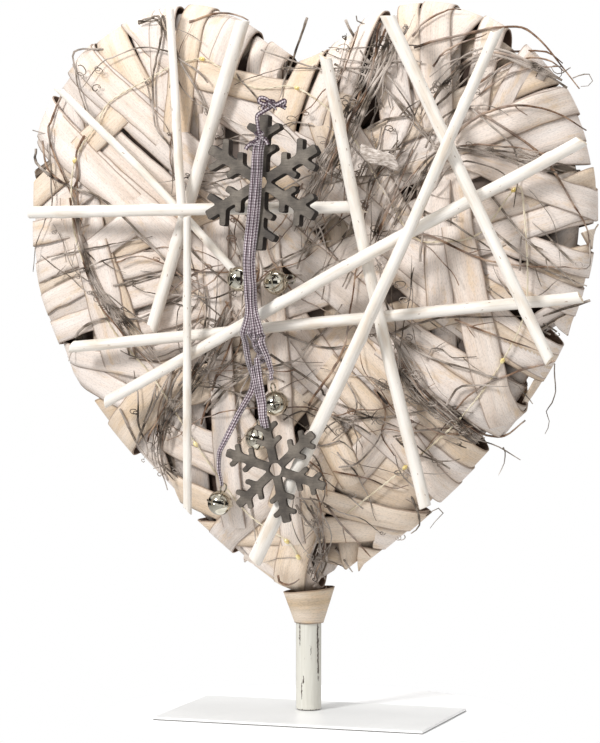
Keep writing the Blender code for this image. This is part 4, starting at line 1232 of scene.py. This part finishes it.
tangles = {
    "share": 0.25,
    "brown": 0.28,
    "step": 0.004,
    "length": (0.030, 0.110),
    "radius": (0.00028, 0.00072),
    "level": (0, 0.0055),
    "bend": 11.0,             # radians to a metre
    "waver": (0.5, 0.016),    # radians, and the length of one wave
    # middle in mm from the tip, half length and half height of the patch, lie and fan in degrees, and
    # number of twigs, of which the share above is laid
    "upper_left": [
        (-93, 368, 16, 9, 150, 70, 16), (-152, 262, 14, 34, 110, 30, 4), (-90, 300, 8, 40, 100, 22, 8),
        (-28, 300, 20, 14, 150, 40, 18), (-45, 268, 14, 12, 20, 60, 14), (0, 262, 30, 26, 60, 50, 30),
        (-18, 215, 26, 18, 60, 60, 26), (-62, 222, 26, 12, 20, 30, 12),
    ],
    "upper_right": [
        (46, 330, 16, 34, 62, 16, 26), (24, 352, 26, 5, 175, 16, 16), (62, 292, 26, 24, 60, 40, 26),
        (80, 345, 14, 20, 110, 50, 10), (118, 322, 18, 16, 50, 40, 8), (100, 285, 20, 20, 100, 50, 8),
        (45, 238, 20, 22, 70, 50, 24), (140, 348, 30, 10, 160, 24, 6), (175, 232, 10, 16, 120, 60, 6),
        (108, 250, 24, 20, 140, 50, 12),
    ],
    "lower_left": [
        (-52, 168, 34, 14, 30, 30, 34), (-88, 120, 12, 34, 74, 20, 24), (-120, 196, 24, 14, 150, 26, 6),
        (-30, 150, 30, 12, 50, 60, 24), (-100, 84, 12, 14, 100, 70, 10), (-14, 128, 26, 8, 170, 26, 18),
    ],
    "lower_right": [
        (56, 118, 36, 8, 172, 14, 22), (84, 150, 22, 22, 130, 26, 20), (120, 110, 26, 12, 160, 26, 18),
        (40, 70, 16, 18, 120, 50, 18), (18, 34, 8, 20, 100, 40, 14), (88, 84, 20, 14, 140, 60, 14),
        (150, 180, 26, 14, 160, 30, 12), (62, 186, 14, 22, 60, 50, 14),
    ],
}


def tangleTwigs(patch, seed, rand):
    # each twig sets out from the patch, keeps a slow bend of its own and rides over what lies there
    x, z, reach, rise, lie, fan, number = patch
    step = tangles["step"]
    waver, wave = tangles["waver"]
    runs = []
    for index in range(round(number * tangles["share"])):
        around = rand.uniform(0, fullTurn)
        out = math.sqrt(rand.random())
        place = Vector((x + math.cos(around) * out * reach, z + math.sin(around) * out * rise)) * mm
        heading = math.radians(lie + rand.gauss(0, 0.6) * fan + rand.choice((0, 180)))
        length = rand.uniform(*tangles["length"])
        bend = rand.gauss(0, tangles["bend"])
        count = max(5, round(length / step))
        place -= wayAt(heading) * length / 2
        places = []
        for k in range(count + 1):
            places.append(place.copy())
            turn = heading + bend * length * k / count + waver * wobble(k * step, wave, seed * 3 + index)
            place += wayAt(turn) * length / count
        places = [p for p in places if domeShare(p, 0.004) < 1.0]
        if len(places) < 4:
            continue
        radius = rand.uniform(*tangles["radius"])
        level = rand.uniform(*tangles["level"])
        depths = evened([bed(p, 0.003) + radius + level for p in places], 2)
        brown = int(rand.random() < tangles["brown"])
        runs.append((*shoot(places, depths, radius, seed + index, 0.4), brown))
        for _ in range(rand.choice((0, 1, 1, 2))):
            size, turns = rand.uniform(0.0012, 0.0034), rand.uniform(1.0, 3.0)
            k = rand.randrange(len(places))
            turn = rand.uniform(0, 6)
            runs.append((*curl(places[k], depths[k] + 0.0008, size, turns, turn, 0.0003), brown))
    return runs


def layTwigs(quarter, order):
    runs = []
    rand = random.Random(300 + order)
    for index, (brown, thick, *stops) in enumerate(twigRoutes[quarter]):
        places = flatRun([Vector((x, z, 0)) * mm for x, z in zip(stops[::2], stops[1::2])], tangles["step"])
        radius = thick / 10 * mm
        level = twigLevels[index % len(twigLevels)]
        depths = [rest + radius + level for rest in evened([bed(place, 0.003) for place in places], 3)]
        seed = order * 31 + index
        runs.append((*shoot(places, depths, radius, seed), brown))
        for _ in range(rand.randint(0, 2) if len(places) > 8 else 0):
            k = rand.randint(2, len(places) - 3)
            branch = fork(rand, places, k, (0.5, 1.0), (0.006, 0.016), 0.4)
            if domeShare(branch[-1], 0) < 0.96:
                runs.append((*shoot(branch, [depths[k]] * 5, radius * 0.55, seed + 9, 0.4), brown))
    for x, z, size, turns in tendrils[quarter.split("_")[0]]:
        place = Vector((x, z)) * mm
        if (x < 0) == quarter.endswith("left"):
            runs.append((*curl(place, bed(place) + 0.003, size * mm, turns, x * 0.7, 0.00035), 0))
    for number, patch in enumerate(tangles[quarter]):
        runs += tangleTwigs(patch, order * 100 + number * 9, rand)
    tube(f"loose_twigs_{quarter}", runs, twigs)


for order, quarter in enumerate(twigRoutes):
    layTwigs(quarter, order)
print("loose twigs laid")


# Bark: a flat rough lump on the upper right
barkLump = {
    "length": 0.030, "height": 0.0098, "thickness": 0.0056,
    "lean": 24,                # degrees, falling to the right
    "ridges": 0.0010,
    "ridgeWaves": Vector((190, 500, 520)),    # to a metre along each axis
    "shrink": 0.0003,          # keeps the ridges near the size above
    "sway": (0.0010, 260),     # height and radians to a metre of a slow wave along it
    "stub": 0.0042,            # how far its upper left corner juts up
}


def breakBark():
    bm = bmesh.new()
    bmesh.ops.create_uvsphere(bm, u_segments=96, v_segments=64, radius=0.5)
    low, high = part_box("bark_piece")
    middle = (Vector(low) + Vector(high)) / 2
    turn = turned(barkLump["lean"], "Y", 3)
    sway, wave = barkLump["sway"]
    size = Vector((barkLump["length"], barkLump["thickness"], barkLump["height"]))
    for vert in bm.verts:
        out = vert.co.normalized()
        spot = vert.co * size
        rough = noise.fractal(spot * barkLump["ridgeWaves"], 1.0, 2.2, 5)
        spot += Vector((out.x, out.y * 0.5, out.z)) * (rough * barkLump["ridges"] - barkLump["shrink"])
        end = max(0.0, -2 * vert.co.x - 0.35)
        spot.z += barkLump["stub"] * end ** 1.5 * max(0.0, 0.4 + 2 * vert.co.z)
        spot.z += sway * math.sin(spot.x * wave)
        vert.co = middle + turn @ spot
    finishPiece("bark_lump", bm, [bark], ["bark_piece"], 70)


breakBark()
print("bark broken")


# Snowflakes: sawn from stained plywood, with round-ended prongs and notches
flakes = {
    # arm's half width, hole, and foot, length and width of each prong, as shares of the radius
    "upper": {
        "diameter": 0.085, "thick": 0.006, "arm": 0.0756, "hole": 0.102,
        "branches": [(0.40, 0.18, 0.0976), (0.68, 0.24, 0.1024)], "turn": 30, "tilts": (6, -6),
    },
    "lower": {
        "diameter": 0.068, "thick": 0.003, "arm": 0.0794, "hole": 0.135,
        "branches": [(0.44, 0.20, 0.0941), (0.72, 0.18, 0.0941)], "turn": 17, "tilts": (0, 0),
    },
}
prongRound = 0.0013
notchRound = 0.0016
holeRound = 0.0011
flakeEdge = 0.0002


def flakeRim(arm, branches):
    # one arm's upper side from root to tip, mirrored and turned six times
    lean = math.radians(60)
    half = [Vector((arm / math.tan(math.radians(30)), arm))]
    way = wayAt(lean)
    side = Vector((math.sin(lean), -math.cos(lean)))
    for root, length, width in branches:
        foot = Vector((root, arm))
        tip = foot + way * length
        half += [foot, tip, tip + side * width, foot + Vector((width / math.sin(lean), 0))]
    half.append(Vector((1, arm)))
    rim = []
    for k in range(6):
        turn = Matrix.Rotation(math.radians(60 * k), 2)
        rim += [turn @ Vector((p.x, -p.y)) for p in half[1:]]
        rim += [turn @ p for p in reversed(half)]
    return rim


def cutLoop(bm, places, inner, outer):
    # a closed line with rounded corners, as edges of its own
    verts = [bm.verts.new((p.x, p.y, 0)) for p in places]
    bm.faces.new(verts)
    corners = {inner: [], outer: []}
    for before, here, after, vert in zip(places[-1:] + places, places, places[1:] + places[:1], verts):
        corners[inner if (here - before).cross(after - here) < 0 else outer].append(vert)
    for size in (outer, inner):
        if corners[size]:
            bmesh.ops.bevel(bm, geom=corners[size], affect="VERTICES", offset=size, offset_type="OFFSET",
                            segments=5, profile=0.5, material=-1, clamp_overlap=True)


def sawFlake(name):
    facts = flakes[name]
    radius, thick = facts["diameter"] / 2, facts["thick"]
    bm = bmesh.new()
    cutLoop(bm, [p * radius for p in flakeRim(facts["arm"], facts["branches"])], notchRound, prongRound)
    hole = [wayAt(math.radians(60 * k + 30)) * facts["hole"] * radius for k in range(6)]
    cutLoop(bm, hole, notchRound, holeRound)
    bmesh.ops.delete(bm, geom=bm.faces[:], context="FACES_ONLY")
    flat = bmesh.ops.triangle_fill(bm, use_beauty=True, edges=bm.edges[:])["geom"]
    faces = [f for f in flat if isinstance(f, bmesh.types.BMFace)]
    bmesh.ops.translate(bm, verts=bm.verts, vec=(0, 0, -thick / 2))
    grown = bmesh.ops.extrude_face_region(bm, geom=faces)["geom"]
    bmesh.ops.translate(bm, verts=[v for v in grown if isinstance(v, bmesh.types.BMVert)], vec=(0, 0, thick))
    bmesh.ops.recalc_face_normals(bm, faces=bm.faces)
    for face in bm.faces:
        face.material_index = 0 if abs(face.normal.z) > 0.7 else 1
    rims = [e for e in bm.edges if len({f.material_index for f in e.link_faces}) == 2]
    bmesh.ops.bevel(bm, geom=rims, affect="EDGES", offset=flakeEdge, segments=1, profile=0.5, material=1)
    spots = {tuple(round(c, 6) for c in v.co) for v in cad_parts[f"{name}_snowflake"].data.vertices}
    middle = sum((Vector(s) for s in spots), Vector()) / len(spots)
    aside, back = facts["tilts"]
    pose = (Matrix.Translation(middle) @ (turned(-aside, "Z") @ turned(back, "X"))
            @ turned(facts["turn"], "Y") @ turned(90, "X"))
    bmesh.ops.transform(bm, matrix=pose, verts=bm.verts)
    materials = [stainedFace, flakeEdges[name]]
    finishPiece(f"plywood_snowflake_{name}", bm, materials, [f"{name}_snowflake"], 30)


for name in flakes:
    sawFlake(name)
print("snowflakes sawn")


# Bells: two stamped cups crimped together, a slit below and a wire loop above
bells = {
    "radius": 0.0080, "flange": 0.0009, "wall": 0.00035, "slit": 0.0011, "dents": 0.010,
    "loop": 0.0056, "loopWire": 0.0011,
    # the flange's edge, beyond the lip and above the seam
    "rim": [(-0.00015, 0.00042), (0, 0.00026), (-0.0001, 0.00004)],
    # lean to the side and turn about the own axis in degrees, then the place in mm from the knot
    "all": {
        "ribbon_left": (50, 0, -20.8, 89.4), "ribbon_right": (78, 20, -1.6, 91.8),
        "tail_right": (-10, 80, -1.6, 168.8), "tail_left": (14, 70, -40.0, 233.5),
        "behind_flake": (15, 40, -14.1, 191.1),
    },
    "knot": (-0.020, 0.777),
}


def fromKnot(right, down):
    return onForm(*bells["knot"]) + Vector((right, -down)) * mm


def stampBell(order, name):
    radius, slit = bells["radius"], bells["slit"]
    lean, turn, right, down = bells["all"][name]
    bm = bmesh.new()
    upper = [(radius * math.cos(rise), radius * math.sin(rise))
             for rise in (math.radians(90 - k * 7.2) for k in range(13))]
    upper += [(radius + bells["flange"] + out, up) for out, up in bells["rim"]]
    spinProfile(bm, upper + [(x, -z) for x, z in reversed(upper)], 56)
    bmesh.ops.remove_doubles(bm, verts=bm.verts, dist=2 * tiny)
    bmesh.ops.recalc_face_normals(bm, faces=bm.faces)
    for side in (-1, 1):
        bmesh.ops.bisect_plane(bm, geom=bm.verts[:] + bm.edges[:] + bm.faces[:], dist=tiny,
                               plane_co=(side * slit / 2, 0, 0), plane_no=(1, 0, 0))
    middles = [(f, f.calc_center_median()) for f in bm.faces]
    cut = [f for f, middle in middles if abs(middle.x) < slit / 2 and middle.z < -radius * 0.35]
    bmesh.ops.delete(bm, geom=cut, context="FACES")
    for vert in bm.verts:
        vert.co *= 1 + bells["dents"] * noise.noise(vert.co * 190 + Vector((order * 9.0, 0, 0)))
    bmesh.ops.solidify(bm, geom=bm.faces[:], thickness=bells["wall"])
    major = bells["loop"] / 2
    cup = set(bm.verts)
    wire = bmesh.ops.create_circle(bm, segments=10, radius=bells["loopWire"] / 2)["verts"]
    bmesh.ops.rotate(bm, verts=wire, matrix=turned(90, "X", 3))
    bmesh.ops.translate(bm, verts=wire, vec=(major, 0, 0))
    spinRound(bm, list({e for v in wire for e in v.link_edges}), 30)
    loop = [v for v in bm.verts if v not in cup]
    bmesh.ops.rotate(bm, verts=loop, matrix=turned(90, "X", 3))
    bmesh.ops.translate(bm, verts=loop, vec=(0, 0, radius + major - bells["loopWire"] * 0.65))
    bmesh.ops.recalc_face_normals(bm, faces=[f for f in bm.faces if f.verts[0] not in cup])
    low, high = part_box(f"bell_{name}")
    middle = toWorld(fromKnot(right, down), heart["place"].y - (low[1] + high[1]) / 2)
    pose = Matrix.Translation(middle) @ (turned(lean, "Y") @ turned(turn, "Z"))
    bmesh.ops.transform(bm, matrix=pose, verts=bm.verts)
    finishPiece(f"jingle_bell_{name}", bm, [nickel], [f"bell_{name}"], 35)


for order, name in enumerate(bells["all"]):
    stampBell(order, name)
print("bells stamped")


# Ribbon: narrow gingham, tied in a bow round a twig, four strands down to the bells and the lower snowflake
ribbon = {
    "width": 0.0065,
    "thick": 0.00025,
    "step": 0.0025,
    "across": 8,
    # all routes in mm from the knot
    "bundle": [
        (0.0, 0.0), (-1.8, 9.0), (-2.2, 22.5), (-3.8, 44.6), (-7.2, 75.1), (-7.6, 96.0), (-7.0, 110.0)],
    "strands": {
        # node it replaces, shift in the bundle, way below it, shown widths, lean, and shift forward
        "left": ("left", -2.0,
                 [(-12.6, 123.0), (-17.0, 142.8), (-23.4, 175.0), (-27.4, 203.5), (-25.0, 219.0)],
                 (0.45, 0.55, 0.6, 0.6, 0.8, 0.85, 0.7, 0.3), 0.35, 0.0002),
        "right": ("right", 2.4, [(-1.2, 123.0), (3.6, 138.0), (8.2, 152.0)],
                  (0.4, 0.5, 0.55, 0.55, 0.6, 0.7, 0.3), -0.3, -0.0003),
        "inner": ("middle", 0.9, [(-4.8, 123.0), (-2.2, 147.0), (4.7, 182.0)],
                  (0.4, 0.55, 0.6, 0.55, 0.6, 0.7, 0.65), 0.25, 0.0006),
        "outer": (None, -0.8, [(-7.6, 123.0), (-5.0, 147.0), (2.6, 181.0)],
                  (0.45, 0.5, 0.55, 0.6, 0.55, 0.6, 0.5), -0.4, -0.0006),
    },
    # three turns each round the twig: middle, size and tilt
    "wraps": [(8.0, -20.5, 2.1, 0.5), (-0.5, -1.0, 2.6, 0.2), (-3.0, 3.6, 2.8, -0.25)],
    "wrapsOver": [(7.5, -20), (0, 0), (0, 4)],
    # loops and loose ends, with a depth each
    "bow": [
        ((8, -20, 0), (4.5, -23.5, 2.5), (1, -24.2, 3.2), (0.6, -21.5, 2.6), (7, -19.5, 1)),
        ((8, -20, 0), (12, -20.5, 2.0), (16.5, -22.5, 2.2), (16, -20, 1.8), (9, -19.5, 1)),
        ((8, -19, 0.5), (2, -15.5, 1.6), (-1.5, -13, 1.8), (-1.5, -8, 1.2), (-0.5, -1.5, 0.6)),
        ((8, -21, 1), (4, -20.5, 1.5), (1.2, -17.5, 1.2)),
        ((9, -20, 1), (13.5, -19.5, 1.0), (17.2, -17.8, 0.8)),
        ((-0.5, -1, 1), (4.2, 2.5, 1.4), (5.2, 5.0, 1.0)),
        ((-3, 4, 1), (-7.5, 5.5, 1.3), (-9.5, 8.0, 0.8)),
    ],
    "wrapHalf": 0.0011, "bowHalf": 0.0013,    # half the folded width
    "wrapPitch": 1.1,                         # mm from one turn to the next
    "wrapSteps": 24,
    "wrapRise": (0.0006, 0.0019),             # each turn over the one before, and of one turn's front
    "fold": 0.0004,                           # height of the folded band's middle over its edges
    "strandWaves": (0.0004, 0.0009),          # forward and to the side
}


def finishCloth(name, bm, nodes):
    piece = finishPiece(name, bm, [gingham], nodes, 60)
    thicken(piece, ribbon["thick"])


def weaveStrand(seed, name, node, shift, tail, narrow, lean, forward):
    # the strand keeps its cut width and folds along its middle as it narrows
    stops = [(x + shift, y) for x, y in ribbon["bundle"]] + tail
    middle = flatRun([fromKnot(x, y) for x, y in stops], ribbon["step"])
    tails = [f"ribbon_tail_{side}" for side in ("left", "middle", "right")]
    depths = nodeRun(["ribbon_bundle", *tails], middle, 0.003)
    count = len(middle) - 1
    bm, shares = gridOf(count, ribbon["across"])
    length = sum((b - a).length for a, b in zip(middle, middle[1:]))
    half = ribbon["width"] / 2
    deep, aside = ribbon["strandWaves"]
    for vert, (along, over) in shares.items():
        k = min(count, int(round(along * count)))
        run = along * length
        side = 2 * over - 1
        # a folded strip: the arch keeps the true width while the strand shows narrower
        squeeze = float(np.interp(along, np.linspace(0, 1, len(narrow)), narrow))
        arch = math.sqrt(1 - squeeze ** 2) * 0.9
        depth = depths[k] + forward + half * arch * (0.5 - side ** 2) * (1 if seed % 2 else 0.6)
        depth += side * lean * half * (0.7 + 0.5 * wobble(run, 0.03, seed))
        depth += deep * wobble(run, 0.018, seed + 4)
        sway = aside * wobble(run, 0.05, seed + 11) * min(1.0, (1 - along) * 5)
        vert.co = toWorld(middle[k] + sideOf(headingAt(middle, k)) * (side * half * squeeze + sway), depth)
    layUv(bm, "weave", lambda v: (shares[v][1] * ribbon["width"], shares[v][0] * length))
    bmesh.ops.recalc_face_normals(bm, faces=bm.faces)
    finishCloth(f"ribbon_strand_{name}", bm, [f"ribbon_tail_{node}"] if node else ())


def tieKnot():
    # two wrapped knots and the bow's loops and ends, as one folded band
    low = nodeRun(["ribbon_bundle"], [fromKnot(x, y) for x, y in ribbon["wrapsOver"]])
    over, front = ribbon["wrapRise"]
    runs = []
    for (right, down, size, tilt), depth in zip(ribbon["wraps"], low):
        for k in range(3):
            shift = (k - 1) * ribbon["wrapPitch"]
            ring = []
            for turn in (fullTurn * step / ribbon["wrapSteps"] for step in range(ribbon["wrapSteps"] + 1)):
                x = right + size * math.cos(turn) + shift * math.sin(tilt)
                y = down + shift * math.cos(tilt) + 0.8 * math.sin(turn + k)
                y += size * math.cos(turn) * math.sin(tilt + 0.3 * (k - 1))
                ring.append(toWorld(fromKnot(x, y), depth + over * k + front * math.sin(turn)))
            runs.append(ring)
    wraps = len(runs)
    for way in ribbon["bow"]:
        runs.append([toWorld(fromKnot(p.x, p.y), low[0] + p.z * mm) for p in smoothRun(way, 0.6)])
    bm = bmesh.new()
    uv = bm.loops.layers.uv.new("weave")
    for number, points in enumerate(runs):
        wide = ribbon["wrapHalf"] if number < wraps else ribbon["bowHalf"]
        facing = Vector((0.2 * math.sin(number), -1, 0.3 * math.cos(number * 2)))
        previous = None
        run = 0.0
        for k, point in enumerate(points):
            heading = headingAt(points, k)
            side = heading.cross(facing).normalized()
            if number < wraps:
                side = Vector((math.sin(0.2 * number), 0.1, -1)).normalized()
            row = [bm.verts.new(point + side * wide * s + heading.cross(side) * ribbon["fold"] * (1 - s * s))
                   for s in (-1, -0.5, 0, 0.5, 1)]
            if previous:
                step = (point - points[k - 1]).length
                for i in range(4):
                    face = bm.faces.new((previous[i], previous[i + 1], row[i + 1], row[i]))
                    for loop, (a, b) in zip(face.loops, ((i, 0), (i + 1, 0), (i + 1, 1), (i, 1))):
                        loop[uv].uv = (a * wide / 2, run + b * step)
                run += step
            previous = row
    finishCloth("ribbon_knot", bm, ["ribbon_bundle"])


tieKnot()
for seed, (name, facts) in enumerate(ribbon["strands"].items(), start=1):
    weaveStrand(seed, name, *facts)
print("ribbon hung")


# Studio
studio = {
    "floor": "#fafafa",
    "floorReach": 0.135,
    "sky": 0.92,
    "aim": (0, 0, 0.22),
    # watts, size and place
    "lights": {
        "key": (59.0, 0.6, (-1.05, -2.2, 1.6)), "fill": (4.0, 1.0, (1.7, -1.6, 0.7)),
        "top": (7.0, 0.6, (0.0, 0.0, 1.7)),
    },
    # brightness from straight below to straight above, as the object is lit and as its glossy parts mirror it
    "lit": [(0.0, 0.9), (0.45, 0.75), (0.49, 0.15), (0.56, 0.15), (0.61, 0.8), (1.0, 1.0)],
    "mirrored": [(0.0, 0.85), (0.34, 0.6), (0.42, 0.02), (0.64, 0.02), (0.72, 0.9), (1.0, 1.0)],
}


def layFloor():
    # a round sheet of white paper under the plate
    bm = bmesh.new()
    bmesh.ops.create_circle(bm, cap_ends=True, segments=96, radius=studio["floorReach"])
    mesh = bpy.data.meshes.new("floor")
    bm.to_mesh(mesh)
    bm.free()
    mesh.materials.append(makeSurface("matt_white_paper_floor", 0.9, {"paper": (3, 2)}, [
        ("paper", [(0.3, studio["floor"]), (0.7, "#fdfdfd")], None)]))
    addObject("floor", mesh)


def lightSky():
    # the camera sees plain white; the object sees a bright ceiling, a darker band and a pale ground
    world = bpy.data.worlds.new("studio")
    world.use_nodes = True
    tree = world.node_tree
    height = addNode(tree, "SeparateXYZ", {"Vector": addNode(tree, "TexCoord").outputs["Generated"]})
    rise = addNode(tree, "MapRange", {"Value": height.outputs["Z"], "From Min": -1.0, "From Max": 1.0})
    lit, mirrored = (addNode(tree, "ValToRGB", {"Fac": rise.outputs["Result"]}, studio[name]).outputs["Color"]
                     for name in ("lit", "mirrored"))
    seen = addNode(tree, "LightPath")
    colour = addNode(tree, "Mix", {0: seen.outputs["Is Glossy Ray"], 6: lit, 7: mirrored}, data_type="RGBA")
    sky = tree.nodes["Background"]
    tree.links.new(colour.outputs[2], sky.inputs["Color"])
    sky.inputs["Strength"].default_value = studio["sky"]
    plain = addNode(tree, "Background", {"Color": "#ffffff", "Strength": 1.0})
    links = {0: seen.outputs["Is Camera Ray"], 1: sky.outputs[0], 2: plain.outputs[0]}
    both = addNode(tree, "MixShader", links)
    tree.links.new(both.outputs[0], tree.nodes["World Output"].inputs["Surface"])
    bpy.context.scene.world = world


layFloor()
lightSky()
for name, (watts, size, at) in studio["lights"].items():
    data = bpy.data.lights.new(name, "AREA")
    data.energy = watts
    data.size = size
    aimed(name, data, at, Vector(studio["aim"]) - Vector(at))
bpy.context.scene.view_settings.view_transform = "Standard"
print("studio built")
